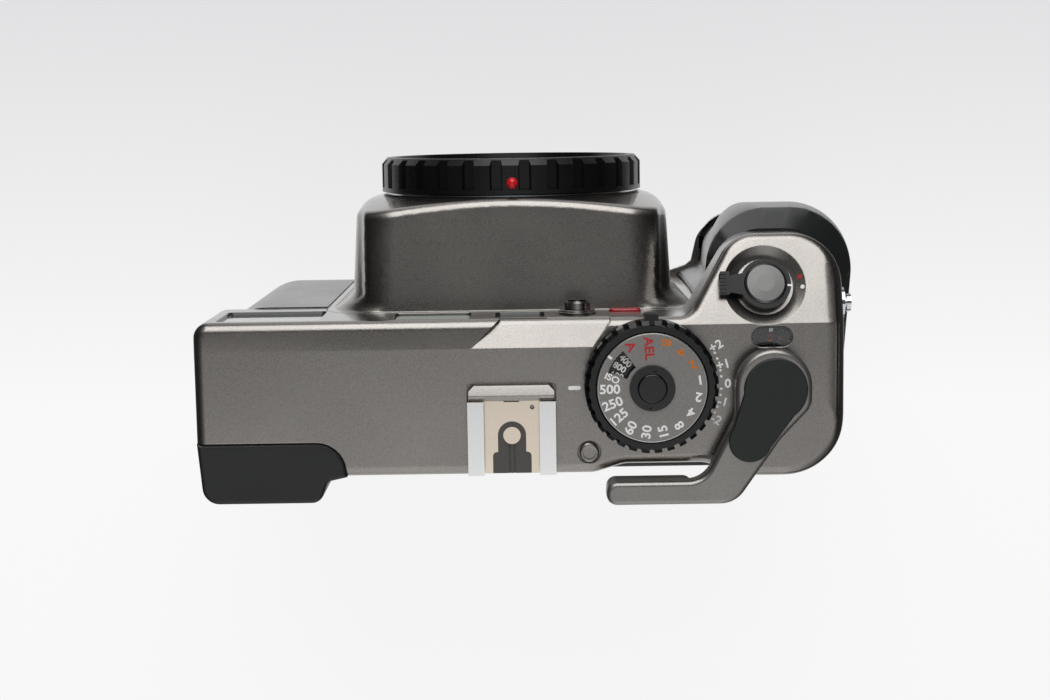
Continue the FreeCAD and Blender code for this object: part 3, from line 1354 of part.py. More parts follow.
def hinge_pin():
    return disc(door_pin_radius, door_pin_x, door_pin_y, 12.5, 77.5)


save("main_chassis", main_chassis())
save("front_cover", front_cover())
save("top_cover", top_cover())
save("base_cover", base_cover())
save("left_panel", panel_solid(0.1))
save("hand_grip", hand_grip())
save("eyepiece_housing", eyepiece_housing())
save("eyepiece_lens", eyepiece_lens())
save("viewfinder_window", window_glass(0))
save("illumination_window", window_glass(1))
save("rangefinder_window", window_glass(2))
save("signal_lamp", signal_lamp())
save("finder_block", finder_block())
save("circuit_board", circuit_board())
save("rangefinder_mirror", rangefinder_mirror())
save("rangefinder_arm", rangefinder_arm())
save("sync_terminal", sync_terminal())
save("lens_mount_ring", lens_mount_ring())
save("mount_screws", mount_screws())
save("lens_release", lens_release())
save("body_cap", body_cap())
save("cap_index", cap_index())
save("strap_lugs", strap_lugs())
save("shoe_bar", shoe_bar())
save("shoe_rails", shoe_rails())
save("shoe_floor", shoe_floor())
save("shoe_insulator", shoe_insulator())
save("shoe_contact", shoe_contact())
save("compensation_ring", compensation_ring())
save("speed_dial", speed_dial())
save("dial_hub", dial_hub())
save("dial_lock", dial_lock())
save("iso_disc", iso_disc())
save("counter_window", counter_window())
save("counter_disc", counter_disc())
save("advance_lever", advance_lever())
save("lever_pad", lever_pad())
save("lever_shaft", lever_shaft())
save("idler_gears", idler_gears())
save("take_up_key", take_up_key())
save("supply_key", supply_key())
save("spool_stud_left", spool_stud(supply_x))
save("spool_stud_right", spool_stud(take_up_x))
save("film_roller_left", film_roller(roller_places()[0]))
save("film_roller_right", film_roller(roller_places()[1]))
save("curtain_key", curtain_key())
save("curtain_blind", curtain_blind())
save("lock_collar", lock_collar())
save("shutter_button", shutter_button())
save("check_button", check_button())
save("back_door", back_door())
save("pressure_plate", pressure_plate())
save("plate_spring", plate_spring())
save("door_latch", door_latch())
save("hinge_pin", hinge_pin())
save("tripod_bush", tripod_bush())
save("base_screws", base_screws())
save("battery", battery())
save("battery_cover", battery_cover())
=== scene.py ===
import math
import bpy
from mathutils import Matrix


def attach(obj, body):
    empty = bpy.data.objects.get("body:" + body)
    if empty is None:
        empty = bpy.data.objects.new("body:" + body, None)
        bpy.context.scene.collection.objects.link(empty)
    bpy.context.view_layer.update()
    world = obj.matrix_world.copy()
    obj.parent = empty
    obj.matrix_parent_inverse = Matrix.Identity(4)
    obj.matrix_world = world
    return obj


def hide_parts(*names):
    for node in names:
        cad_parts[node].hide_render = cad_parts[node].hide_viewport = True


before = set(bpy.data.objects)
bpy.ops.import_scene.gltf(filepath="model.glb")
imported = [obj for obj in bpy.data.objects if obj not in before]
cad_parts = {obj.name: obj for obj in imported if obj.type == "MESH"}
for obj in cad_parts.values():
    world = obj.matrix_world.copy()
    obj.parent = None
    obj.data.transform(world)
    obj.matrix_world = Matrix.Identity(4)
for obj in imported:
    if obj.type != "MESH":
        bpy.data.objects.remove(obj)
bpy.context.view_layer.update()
mm = 0.001  # a millimetre in metres

# Camera over the top plate, as the photograph was taken. Lens and sensor are in mm, place and nearest in
# metres, pitch in radians and roll in degrees.
photoView = {"lens": 60.137, "sensor": 36, "place": (0.00287, 0.0628, 0.5), "pitch": 0.1341, "roll": 0.85,
             "nearest": 0.01}

bpy.ops.object.select_all(action="DESELECT")
bpy.ops.object.camera_add(location=photoView["place"])
photoCamera = bpy.context.object
photoCamera.rotation_mode = "ZYX"
photoCamera.rotation_euler = (-photoView["pitch"], 0, -math.radians(photoView["roll"]))
photoCamera.data.lens = photoView["lens"]
photoCamera.data.sensor_width = photoView["sensor"]
photoCamera.data.clip_start = photoView["nearest"]
bpy.context.scene.camera = photoCamera
bpy.context.scene.view_settings.view_transform = "Standard"
print("camera set")


def linear(hexColour):  # sRGB hex to the linear colour that a shader wants
    parts = [int(hexColour[i:i + 2], 16) / 255 for i in (1, 3, 5)]
    return [c / 12.92 if c <= 0.04045 else ((c + 0.055) / 1.055) ** 2.4 for c in parts] + [1.0]


def addNode(material, kind, inputs=None, **settings):
    node = material.node_tree.nodes.new(kind)
    for name, value in settings.items():
        setattr(node, name, value)
    for name, value in (inputs or {}).items():
        if isinstance(value, bpy.types.NodeSocket):
            material.node_tree.links.new(value, node.inputs[name])
        else:
            node.inputs[name].default_value = value
    return node


def maths(material, operation, first, second=0.0):
    return addNode(material, "ShaderNodeMath", {0: first, 1: second}, operation=operation).outputs[0]


def carried(material, value, old, new=(0.0, 1.0)):  # from one range to another, held at its ends
    return addNode(material, "ShaderNodeMapRange", {"Value": value, "From Min": old[0], "From Max": old[1],
                                                    "To Min": new[0], "To Max": new[1]}).outputs["Result"]


def mixed(material, share, first, second, blend="MIX"):
    return addNode(material, "ShaderNodeMixRGB", {"Fac": share, "Color1": first, "Color2": second},
                   blend_type=blend).outputs["Color"]


def ramped(material, value, stops):  # a colour ramp with its stops as (position, sRGB hex)
    ramp = addNode(material, "ShaderNodeValToRGB", {"Fac": value})
    elements = ramp.color_ramp.elements
    while len(elements) < len(stops):
        elements.new(1.0)
    for element, (position, hexColour) in zip(elements, stops):
        element.position = position
        element.color = linear(hexColour)
    return ramp.outputs["Color"]


# Studio: a softbox beyond the lens side, pale walls to the rear, dim ceiling, darker to both sides.
# Wall stops run by the angle from straight up, minus towards the rear and plus towards the lens side, and
# side stops by how far sideways a ray leaves. Lengths are in metres.
studio = {"keySize": (0.9, 1.05), "keyTilt": 55, "keyDistance": 1.0, "keyAim": 0.08, "keyRadiance": 2.6,
          "walls": [(-180, "#FFFFFF"), (-95, "#FFFFFF"), (-13, "#FFFFFF"), (-9, "#E2E2E2"), (-5, "#8E8E8F"),
                    (-1, "#606062"), (14, "#5A5A5C"), (26, "#828284"), (60, "#B4B4B4"), (100, "#C8C8C8")],
          "sides": [(0.0, "#FFFFFF"), (0.16, "#F2F2F2"), (0.38, "#A8A8A8"), (0.6, "#747474"), (0.8, "#4A4A4A"),
                    (0.95, "#2A2A2A")],
          "worldStrength": 1.13,
          "floorSize": 6.0, "floorNear": "#FEFEFE", "floorFar": "#E2E2E4", "floorFade": (-0.02, 0.11),
          "floorRoughness": 0.9, "floorSpecular": 0.1, "floorGlow": 0.88,
          "flagTone": "#3C3C3C", "flagsFrom": (0.088, 0.15)}


def addSoftbox(name, size, tilt, distance, radiance):  # tilt in degrees from straight up, towards the lens side
    angle = math.radians(tilt)
    place = (0, distance * math.sin(angle), studio["keyAim"] + distance * math.cos(angle))
    bpy.ops.object.light_add(type="AREA", location=place, rotation=(-angle, 0, 0))
    lamp = bpy.context.object
    lamp.name = name
    lamp.data.shape = "RECTANGLE"
    lamp.data.size, lamp.data.size_y = size
    lamp.data.energy = radiance * math.pi * size[0] * size[1]


addSoftbox("lensSideSoftbox", studio["keySize"], studio["keyTilt"], studio["keyDistance"],
           studio["keyRadiance"])

world = bpy.context.scene.world or bpy.data.worlds.new("studioWalls")
bpy.context.scene.world = world
world.use_nodes = True
lookOut = addNode(world, "ShaderNodeSeparateXYZ",
                  {"Vector": addNode(world, "ShaderNodeTexCoord").outputs["Generated"]}).outputs
leanShare = carried(world, maths(world, "ARCTAN2", lookOut["Y"], lookOut["Z"]), (-math.pi, math.pi))
wallTone = ramped(world, leanShare, [(0.5 + degrees / 360, tone) for degrees, tone in studio["walls"]])
sideTone = ramped(world, maths(world, "ABSOLUTE", lookOut["X"]), studio["sides"])
roomTone = mixed(world, 1.0, wallTone, sideTone, "MULTIPLY")
background = world.node_tree.nodes["Background"]
background.inputs["Strength"].default_value = studio["worldStrength"]
world.node_tree.links.new(roomTone, background.inputs["Color"])

# Seamless paper floor: matt, a little greyer far beyond the lens side. To the eye, in shiny parts and through
# glass, a part of its white is its own glow, and the rest still takes the shadow of the camera. To both sides
# shiny parts mirror it dark, as flags beside the camera would make it.
paper = bpy.data.materials.new("seamlessPaper")
paper.use_nodes = True
paperShader = paper.node_tree.nodes["Principled BSDF"]
paperShader.inputs["Roughness"].default_value = studio["floorRoughness"]
paperShader.inputs["Specular IOR Level"].default_value = studio["floorSpecular"]
floorPlace = addNode(paper, "ShaderNodeSeparateXYZ",
                     {"Vector": addNode(paper, "ShaderNodeTexCoord").outputs["Object"]}).outputs
floorTone = ramped(paper, carried(paper, floorPlace["Y"], studio["floorFade"]),
                   [(0.0, studio["floorNear"]), (1.0, studio["floorFar"])])
rays = addNode(paper, "ShaderNodeLightPath").outputs
beside = carried(paper, maths(paper, "ABSOLUTE", floorPlace["X"]), studio["flagsFrom"])
flagged = maths(paper, "MULTIPLY", beside, rays["Is Glossy Ray"])
paperTone = mixed(paper, flagged, floorTone, linear(studio["flagTone"]))
seenOrShiny = maths(paper, "MAXIMUM", rays["Is Camera Ray"], rays["Is Glossy Ray"])
seen = maths(paper, "MAXIMUM", seenOrShiny, rays["Is Transmission Ray"])
glow = addNode(paper, "ShaderNodeEmission", {"Color": paperTone, "Strength": 1.0})
paperMix = addNode(paper, "ShaderNodeMixShader", {"Fac": maths(paper, "MULTIPLY", seen, studio["floorGlow"])})
for source, entry in ((paperTone, paperShader.inputs["Base Color"]),
                      (paperShader.outputs["BSDF"], paperMix.inputs[1]),
                      (glow.outputs["Emission"], paperMix.inputs[2]),
                      (paperMix.outputs["Shader"], paper.node_tree.nodes["Material Output"].inputs["Surface"])):
    paper.node_tree.links.new(source, entry)
bpy.ops.object.select_all(action="DESELECT")
bpy.ops.mesh.primitive_plane_add(size=studio["floorSize"])
floor = bpy.context.object
floor.name = "paperFloor"
floor.data.materials.append(paper)
print("studio set")

# One builder makes all surface finishes. grain and relief are in mm. The grain drives colour, roughness and
# bump, a cloud of about 20 mm shifts the roughness as handling does, and wear lightens the sharp edges.
surfaceRules = {"grainDetail": 2.0, "grainRoughness": 0.6, "toneStops": (0.32, 0.68), "shineStops": (0.3, 0.7),
                "cloudSize": 20.0, "cloudDetail": 3.0, "cloudStops": (0.35, 0.65), "handling": (0.92, 1.1),
                "edgeSamples": 6, "edgeTurn": (0.985, 0.9)}


def makeFinish(name, dark, light, grain, roughness, relief, metallic=0.0, stretch=(1, 1, 1), wear=None,
               **sockets):
    material = bpy.data.materials.new(name)
    material.use_nodes = True
    shader = material.node_tree.nodes["Principled BSDF"]
    links = material.node_tree.links
    place = addNode(material, "ShaderNodeTexCoord").outputs["Object"]
    drawn = addNode(material, "ShaderNodeMapping", {"Vector": place, "Scale": stretch}).outputs["Vector"]
    speckle = addNode(material, "ShaderNodeTexNoise", {
        "Vector": drawn, "Scale": 1 / (grain * mm), "Detail": surfaceRules["grainDetail"],
        "Roughness": surfaceRules["grainRoughness"]}).outputs["Fac"]
    cloud = addNode(material, "ShaderNodeTexNoise", {
        "Vector": place, "Scale": 1 / (surfaceRules["cloudSize"] * mm),
        "Detail": surfaceRules["cloudDetail"]}).outputs["Fac"]
    colour = ramped(material, speckle, list(zip(surfaceRules["toneStops"], (dark, light))))
    shine = carried(material, speckle, surfaceRules["shineStops"], roughness)
    handled = carried(material, cloud, surfaceRules["cloudStops"], surfaceRules["handling"])
    bumps = addNode(material, "ShaderNodeBump", {"Height": speckle, "Strength": 1.0, "Distance": relief * mm})
    if wear:  # (colour of the bared edge, width in mm)
        softened = addNode(material, "ShaderNodeBevel", {"Radius": wear[1] * mm},
                           samples=surfaceRules["edgeSamples"]).outputs["Normal"]
        straight = addNode(material, "ShaderNodeNewGeometry").outputs["Normal"]
        turned = addNode(material, "ShaderNodeVectorMath", {0: softened, 1: straight}, operation="DOT_PRODUCT")
        sharp = carried(material, turned.outputs["Value"], surfaceRules["edgeTurn"])
        colour = mixed(material, maths(material, "MULTIPLY", sharp, cloud), colour, linear(wear[0]))
        links.new(softened, bumps.inputs["Normal"])
    links.new(colour, shader.inputs["Base Color"])
    links.new(maths(material, "MULTIPLY", shine, handled), shader.inputs["Roughness"])
    links.new(bumps.outputs["Normal"], shader.inputs["Normal"])
    shader.inputs["Metallic"].default_value = metallic
    for socket, value in sockets.items():
        shader.inputs[socket.replace("_", " ")].default_value = value
    return material


# Gives a finish another colour and sheen inside boxes, which are in mm as (low corner, high corner)
def paintInside(material, boxes, hexColour, metallic, roughness):
    shader = material.node_tree.nodes["Principled BSDF"]
    place = addNode(material, "ShaderNodeTexCoord").outputs["Object"]
    inside = 0.0
    for low, high in boxes:
        middle = [(a + b) / 2 * mm for a, b in zip(low, high)]
        half = [(b - a) / 2 * mm for a, b in zip(low, high)]
        offset = addNode(material, "ShaderNodeVectorMath", {0: place, 1: middle}, operation="SUBTRACT")
        shares = addNode(material, "ShaderNodeVectorMath", {0: offset.outputs[0], 1: half}, operation="DIVIDE")
        apart = addNode(material, "ShaderNodeVectorMath", {0: shares.outputs[0]}, operation="ABSOLUTE")
        sides = addNode(material, "ShaderNodeSeparateXYZ", {"Vector": apart.outputs[0]}).outputs
        widest = maths(material, "MAXIMUM", maths(material, "MAXIMUM", sides["X"], sides["Y"]), sides["Z"])
        inside = maths(material, "MAXIMUM", inside, maths(material, "LESS_THAN", widest, 1.0))
    for socket, value in (("Base Color", linear(hexColour)), ("Metallic", metallic), ("Roughness", roughness)):
        entry = shader.inputs[socket]
        outside = entry.links[0].from_socket if entry.links else entry.default_value
        if socket == "Base Color":
            result = mixed(material, inside, outside, value)
        else:
            result = addNode(material, "ShaderNodeMix", {"Factor": inside, "A": outside, "B": value}).outputs[0]
        material.node_tree.links.new(result, entry)


# Baked metallic lacquer on aluminium: flakes of about 0.05 mm, drawn at 0.28 mm so that they show, under a
# smooth clear coat. It turns from a dark warm grey to almost silver as it tips towards the light. Where hands
# rub the edges, brighter metal comes through, less so on the two large covers.
def lacquerCoat(name, bared):
    return makeFinish(name, "#827E7A", "#9A9691", 0.28, (0.27, 0.33), 0.0025, 0.98, wear=(bared, 0.35),
                      Coat_Weight=0.6, Coat_Roughness=0.08)


lacquer = lacquerCoat("bakedMetallicLacquer", "#B9B6B1")
coverLacquer = lacquerCoat("coverMetallicLacquer", "#A8A5A0")
barrelLacquer = lacquerCoat("castBarrelLacquer", "#A8A5A0")
# Inside the window recesses the cover is coloured a matt near black
windowRecess = {"boxes": [((-69.5, 14.0, 79.0), (8.0, 16.34, 100.9))], "recessTone": ("#101112", 0.0, 0.55)}
paintInside(coverLacquer, windowRecess["boxes"], *windowRecess["recessTone"])
# Anodised aluminium, blasted: a shade lighter than the lacquer round it
anodised = makeFinish("blastedAnodisedDial", "#898683", "#9C9996", 0.25, (0.3, 0.36), 0.003, 0.85)
# Moulded rubber of the grip: a skin grain of about 0.4 mm from the mould, under the faint gloss of handling
rubber = makeFinish("mouldedRubber", "#131515", "#1B1D1D", 0.4, (0.3, 0.38), 0.004,
                    Coat_Weight=0.5, Coat_Roughness=0.22)
# Smooth rubber inlay under the thumb: dead matt, with a finer grain
padRubber = makeFinish("smoothRubberInlay", "#181A1A", "#1F2121", 0.25, (0.42, 0.5), 0.006)
# Grey rubber on the front panel: smoother than the grip's, so it mirrors the bright side of the room softly
greyRubber = makeFinish("greyRubberPanel", "#3E3F3F", "#4A4B4B", 0.4, (0.2, 0.27), 0.004)
# ABS from a spark-eroded mould: an even texture of 0.25 mm that keeps a faint sheen
moulded = makeFinish("sparkErodedAbs", "#0A0B0B", "#101111", 0.25, (0.26, 0.34), 0.004)
# The eyepiece housing is of a greyer ABS with a coarser, duller texture
housingPlastic = makeFinish("housingAbs", "#1D1E1E", "#252626", 0.3, (0.42, 0.52), 0.01)
# Glass-filled nylon of the lock collar: matt, and it mirrors less than the ABS does
collarPlastic = makeFinish("mattGlassFilledNylon", "#0D0E0E", "#141515", 0.25, (0.32, 0.42), 0.004,
                           Specular_IOR_Level=0.3)
# Turned and polished acetal: nearly a mirror, black
polished = makeFinish("polishedAcetal", "#08090A", "#0C0D0E", 3.0, (0.12, 0.18), 0.004)
# Anodised and bead-blasted aluminium, dyed grey: an even satin face
satinButton = makeFinish("satinAnodisedButton", "#5E5E5D", "#696968", 0.25, (0.3, 0.38), 0.002, 0.9)
# Cast aluminium, bead blasted and anodised black: grainy, with a dull metal sheen
castBlack = makeFinish("blackAnodisedCasting", "#17181A", "#222326", 0.5, (0.5, 0.62), 0.03, 0.3)
# The film rails are milled bright after anodising, and bare metal shows along them
filmRails = {"boxes": [((-41.4, -17.02, 17.0), (45.8, -16.55, 20.8)),
                       ((-41.4, -17.02, 77.2), (45.8, -16.55, 81.0))],
             "bare": ("#B4B6B8", 1.0, 0.22)}
paintInside(castBlack, filmRails["boxes"], *filmRails["bare"])
# Powder coat on the door's skin: pebbled at about 1 mm
doorCoat = makeFinish("pebbledPowderCoat", "#151617", "#202122", 0.9, (0.45, 0.6), 0.08)
# Cold rolled spring steel, ground along its length
groundSteel = makeFinish("groundSpringSteel", "#DEDFDE", "#E6E7E6", 0.2, (0.15, 0.19), 0.0002, 1.0,
                         (1, 0.08, 1))
# Film pressure plate: hard anodised black, smooth enough not to scratch film
blackPlate = makeFinish("blackAnodisedPlate", "#191A1B", "#222324", 0.3, (0.3, 0.38), 0.001, 0.4)
# Turned steel of screws, pins and rollers: fine tool marks run round the axis, close together
turnedSteel = makeFinish("turnedSteel", "#A9AAAC", "#C2C3C4", 0.3, (0.2, 0.32), 0.001, 1.0, (1, 1, 4))
# Nickel plate over punched brass: warm, with a faint rolling grain
nickel = makeFinish("warmNickelPlate", "#DCCFBE", "#E6DACA", 0.25, (0.16, 0.22), 0.0005, 1.0, (1, 0.1, 1))
# Satin chrome on the bayonet and the lugs, which steel rubs against
chrome = makeFinish("satinChrome", "#C4C6C8", "#D6D8DA", 0.3, (0.12, 0.2), 0.001, 1.0)
# Nickel on the turned terminal: bright, and darker than the shoe's
terminalNickel = makeFinish("turnedTerminalNickel", "#8C8A87", "#A3A19E", 0.3, (0.1, 0.16), 0.0005, 1.0)
# Cut brass of gears and keys, left bare and a little dulled by oil
brass = makeFinish("cutBrass", "#B9954F", "#CDAA64", 0.4, (0.25, 0.35), 0.002, 1.0)
# Pressed phenolic of the shoe's insulator: brown-grey and matt
phenolic = makeFinish("mouldedPhenolic", "#4E4B48", "#5A5754", 0.4, (0.4, 0.5), 0.006)
# Enamel poured into the cap's index: deep red and glossy
redEnamel = makeFinish("redEnamel", "#C8101E", "#E02632", 1.5, (0.12, 0.2), 0.003)
# Silver on the front of the mirror's glass: a true mirror
silvered = makeFinish("silveredGlass", "#E4E6E8", "#F0F2F4", 3.0, (0.02, 0.05), 0.0005, 1.0)
# Green solder mask over copper tracks, a few tenths of a millimetre apart
solderMask = makeFinish("greenSolderMask", "#0E3B22", "#1E5A36", 0.6, (0.25, 0.4), 0.01, 0.0, (1, 0.2, 1))
# Coated optical glass: clear, with a faint bloom from the coating
coatedGlass = makeFinish("coatedGlass", "#DDE6E6", "#E8EEF0", 4.0, (0.0, 0.03), 0.0002,
                         Transmission_Weight=1.0, IOR=1.52, Coat_Weight=0.3)
# Ground glass over the frame lines: it lets in light without a picture
frostedGlass = makeFinish("frostedGlass", "#C9CEC6", "#DADED8", 0.2, (0.35, 0.45), 0.004,
                          Transmission_Weight=0.5, IOR=1.5)
# Polycarbonate of the counter's window: clear and smooth
clearPlastic = makeFinish("clearPolycarbonate", "#F0F1F0", "#F8F8F8", 4.0, (0.02, 0.06), 0.0002,
                          Transmission_Weight=1.0, IOR=1.58)
# Red acrylic over the signal lamp: dyed so deep that little light passes
redPlastic = makeFinish("transparentRedAcrylic", "#A3141C", "#BC242C", 1.0, (0.12, 0.2), 0.001,
                        Transmission_Weight=0.25, IOR=1.49)


def padInk(name, dark, light):  # pad-printed ink: matt, with a faint grain from the pad
    return makeFinish(name, dark, light, 0.3, (0.5, 0.6), 0.002)


whiteInk = padInk("whitePadInk", "#F8F8F7", "#FFFFFE")
orangeInk = padInk("orangePadInk", "#C96F1E", "#D67A28")
redInk = padInk("redPadInk", "#B01E24", "#C02A2E")
greyInk = padInk("greyPadInk", "#A9AAA9", "#B8B9B8")

# The finish of each CAD node. A piece that replaces a node further down carries the same finish.
finishOf = {
    coverLacquer: ["top_cover"],
    lacquer: ["base_cover", "shoe_bar", "check_button"],
    anodised: ["advance_lever", "speed_dial"],
    barrelLacquer: ["front_cover"],
    rubber: ["hand_grip"],
    greyRubber: ["left_panel"],
    padRubber: ["lever_pad"],
    housingPlastic: ["eyepiece_housing"],
    moulded: ["body_cap", "finder_block", "door_latch", "curtain_blind", "battery_cover", "curtain_key",
              "compensation_ring"],
    collarPlastic: ["lock_collar"],
    polished: ["iso_disc", "counter_disc", "dial_hub", "dial_lock", "lens_release"],
    satinButton: ["shutter_button"],
    castBlack: ["main_chassis"],
    doorCoat: ["back_door"],
    groundSteel: ["shoe_rails", "plate_spring"],
    blackPlate: ["pressure_plate"],
    turnedSteel: ["mount_screws", "base_screws", "hinge_pin", "lever_shaft", "film_roller_left",
                  "film_roller_right", "tripod_bush", "battery"],
    nickel: ["shoe_floor", "shoe_contact"],
    terminalNickel: ["sync_terminal"],
    chrome: ["lens_mount_ring", "strap_lugs"],
    brass: ["take_up_key", "supply_key", "spool_stud_left", "spool_stud_right", "idler_gears",
            "rangefinder_arm"],
    phenolic: ["shoe_insulator"],
    solderMask: ["circuit_board"],
    redEnamel: ["cap_index"],
    silvered: ["rangefinder_mirror"],
    coatedGlass: ["eyepiece_lens", "viewfinder_window", "rangefinder_window"],
    frostedGlass: ["illumination_window"],
    clearPlastic: ["counter_window"],
    redPlastic: ["signal_lamp"],
}
for material, nodeNames in finishOf.items():
    for nodeName in nodeNames:
        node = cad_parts[nodeName]
        node.data.materials.clear()
        node.data.materials.append(material)
print("finishes on", sum(len(nodeNames) for nodeNames in finishOf.values()), "nodes")


def startClean():
    if bpy.context.object and bpy.context.object.mode != "OBJECT":
        bpy.ops.object.mode_set(mode="OBJECT")
    bpy.ops.object.select_all(action="DESELECT")


def selectOnly(piece):
    startClean()
    piece.select_set(True)
    bpy.context.view_layer.objects.active = piece


def settle(piece):  # makes the piece's place, turn and size a part of its mesh
    selectOnly(piece)
    bpy.ops.object.transform_apply(location=True, rotation=True, scale=True)
    return piece


def editAll():
    bpy.ops.object.mode_set(mode="EDIT")
    bpy.ops.mesh.select_all(action="SELECT")


def selectFaces(piece, test):  # test sees a face's normal
    bpy.ops.object.mode_set(mode="OBJECT")
    for item in (*piece.data.vertices, *piece.data.edges):
        item.select = False
    for polygon in piece.data.polygons:
        polygon.select = bool(test(polygon.normal))
    bpy.context.tool_settings.mesh_select_mode = (False, False, True)
    bpy.ops.object.mode_set(mode="EDIT")


def selectEdges(piece, test):  # test sees an edge's two ends in mm
    bpy.ops.object.mode_set(mode="OBJECT")
    for item in (*piece.data.vertices, *piece.data.polygons):
        item.select = False
    for edge in piece.data.edges:
        first, second = (piece.data.vertices[i].co / mm for i in edge.vertices)
        edge.select = bool(test(first, second))
    bpy.context.tool_settings.mesh_select_mode = (False, True, False)
    bpy.ops.object.mode_set(mode="EDIT")


def dress(piece, name, material, body, replaced=()):
    piece.name = name
    piece.data.materials.clear()
    piece.data.materials.append(material)
    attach(piece, body)
    if replaced:
        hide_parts(*replaced)


# Printed marks lie on the surface as pad-printed ink does, a few hundredths of a millimetre thick. fontCap is
# a capital's height as a share of the font's size, boldness and rim are shares too, and rimAngle is in degrees.
ink = {"depth": 0.04, "fontCap": 0.69, "smoothness": 5, "boldness": 0.026, "weld": 0.0005, "rim": 0.3,
       "rimAngle": 60}


def inkOn(top):  # the height of a mark's middle on a level top, in mm
    return top + ink["depth"] / 2


# Sets a mark down at a place in mm. turn and tilt are in degrees, widen and thicken are shares.
def setDown(mark, place, turn=0.0, tilt=0.0, widen=1.0, thicken=1.0):
    mark.rotation_mode = "ZYX"
    mark.location = [c * mm for c in place]
    mark.rotation_euler = (math.radians(tilt), 0, math.radians(turn))
    mark.scale = (widen, 1, thicken)
    return settle(mark)


def inkText(words, capHeight):
    startClean()
    bpy.ops.object.text_add()
    mark = bpy.context.object
    mark.data.body = words
    mark.data.size = capHeight * mm / ink["fontCap"]
    mark.data.resolution_u = ink["smoothness"]
    mark.data.extrude = ink["depth"] * mm / 2
    mark.data.offset = ink["boldness"] * mark.data.size
    bpy.ops.object.convert(target="MESH")
    mark = bpy.context.object
    editAll()
    bpy.ops.mesh.remove_doubles(threshold=ink["weld"] * mm)
    bpy.ops.mesh.normals_make_consistent(inside=False)
    bpy.ops.object.mode_set(mode="OBJECT")
    bpy.ops.object.origin_set(type="ORIGIN_GEOMETRY", center="BOUNDS")
    return mark


def inkDrop(radius, sides=20):  # a round drop of ink with a softened rim. Three sides make an arrow head.
    startClean()
    bpy.ops.mesh.primitive_cylinder_add(vertices=sides, radius=radius * mm, depth=ink["depth"] * mm)
    drop = bpy.context.object
    editAll()
    bpy.ops.mesh.edges_select_sharp(sharpness=math.radians(ink["rimAngle"]))
    bpy.ops.mesh.bevel(offset=ink["depth"] * mm * ink["rim"], segments=2)
    bpy.ops.object.mode_set(mode="OBJECT")
    return drop


def inkBar(length, width, roundness=0.45):  # a stroke with rounded ends
    startClean()
    bpy.ops.mesh.primitive_cube_add(size=1, scale=(length * mm, width * mm, ink["depth"] * mm))
    bar = settle(bpy.context.object)
    selectEdges(bar, lambda a, b: abs(a.z - b.z) > ink["depth"] / 2)
    bpy.ops.mesh.bevel(offset=width * mm * roundness, segments=5)
    bpy.ops.object.mode_set(mode="OBJECT")
    return bar


dialCentre = (31.35, 1.2)  # in mm


def around(degrees, radius, height):  # a place round the axis of the shutter speed dial
    angle = math.radians(degrees)
    return dialCentre[0] + radius * math.cos(angle), dialCentre[1] + radius * math.sin(angle), height


def figuresAround(figures, scale):  # figures as (text, angle, radius), turned by the scale's facing in degrees
    return [setDown(inkText(figure, scale["capHeight"]), around(angle, radius, inkOn(scale["top"])),
                    angle + scale["facing"], widen=scale["widen"])
            for figure, angle, radius in figures]


def dotsAround(scale):
    return [setDown(inkDrop(scale["dotRadius"], scale["dotSides"]),
                    around(angle, scale["dotPlace"], inkOn(scale["top"])))
            for angle in scale["dots"]]


def joinMarks(name, marks, material, body):
    startClean()
    for mark in marks:
        mark.select_set(True)
    bpy.context.view_layer.objects.active = marks[0]
    if len(marks) > 1:
        bpy.ops.object.join()
    dress(bpy.context.object, name, material, body)


# Shutter speed dial: figures round the rim, read towards the centre. pill is the index beside the window.
speedFigures = {
    "top": 110.9, "capHeight": 2.0, "widen": 1.08, "facing": -180,
    "white": [("500", 180.5, 9.53), ("250", 200.8, 9.6), ("125", 220.4, 9.83), ("60", 240.9, 10.2),
              ("30", 262, 10.0), ("15", 283.6, 10.06), ("8", 305, 10.46), ("4", 326.5, 10.4), ("2", 348, 10.6),
              ("1", 9, 10.86)],
    "orange": [("2", 29.5, 10.55), ("4", 51, 10.4), ("B", 72.4, 10.7)],
    "red": [("AEL", 94.2, 9.13), ("A", 116.5, 10.7)],
    "word": {"text": "ISO", "angle": 165.2, "radius": 9.3, "turn": -25.0, "capHeight": 1.42, "widen": 1.12},
    "pill": {"angle": 143, "radius": 11.85, "size": (1.1, 0.6)}}
for colour, material in (("white", whiteInk), ("orange", orangeInk), ("red", redInk)):
    marks = figuresAround(speedFigures[colour], speedFigures)
    if colour == "white":
        word, pill, height = speedFigures["word"], speedFigures["pill"], inkOn(speedFigures["top"])
        marks.append(setDown(inkText(word["text"], word["capHeight"]),
                             around(word["angle"], word["radius"], height), word["turn"], widen=word["widen"]))
        marks.append(setDown(inkBar(*pill["size"]), around(pill["angle"], pill["radius"], height),
                             pill["angle"]))
    joinMarks(colour + "SpeedFigures", marks, material, "speed")

# Film speed disc under the dial's window
filmSpeeds = {
    "top": 109.0, "capHeight": 1.37, "widen": 1.05, "facing": -180,
    "figures": [("400", 134.0, 8.42), ("800", 147.5, 8.58), ("1600", 161.0, 8.7), ("200", 117.0, 8.5),
                ("100", 102.0, 8.5), ("50", 87.0, 8.6), ("3200", 176.0, 8.7)],
    "dotRadius": 0.17, "dotSides": 12, "dotPlace": 10.55, "dots": range(82, 188, 5)}
joinMarks("filmSpeedFigures", figuresAround(filmSpeeds["figures"], filmSpeeds) + dotsAround(filmSpeeds),
          whiteInk, "film_speed")

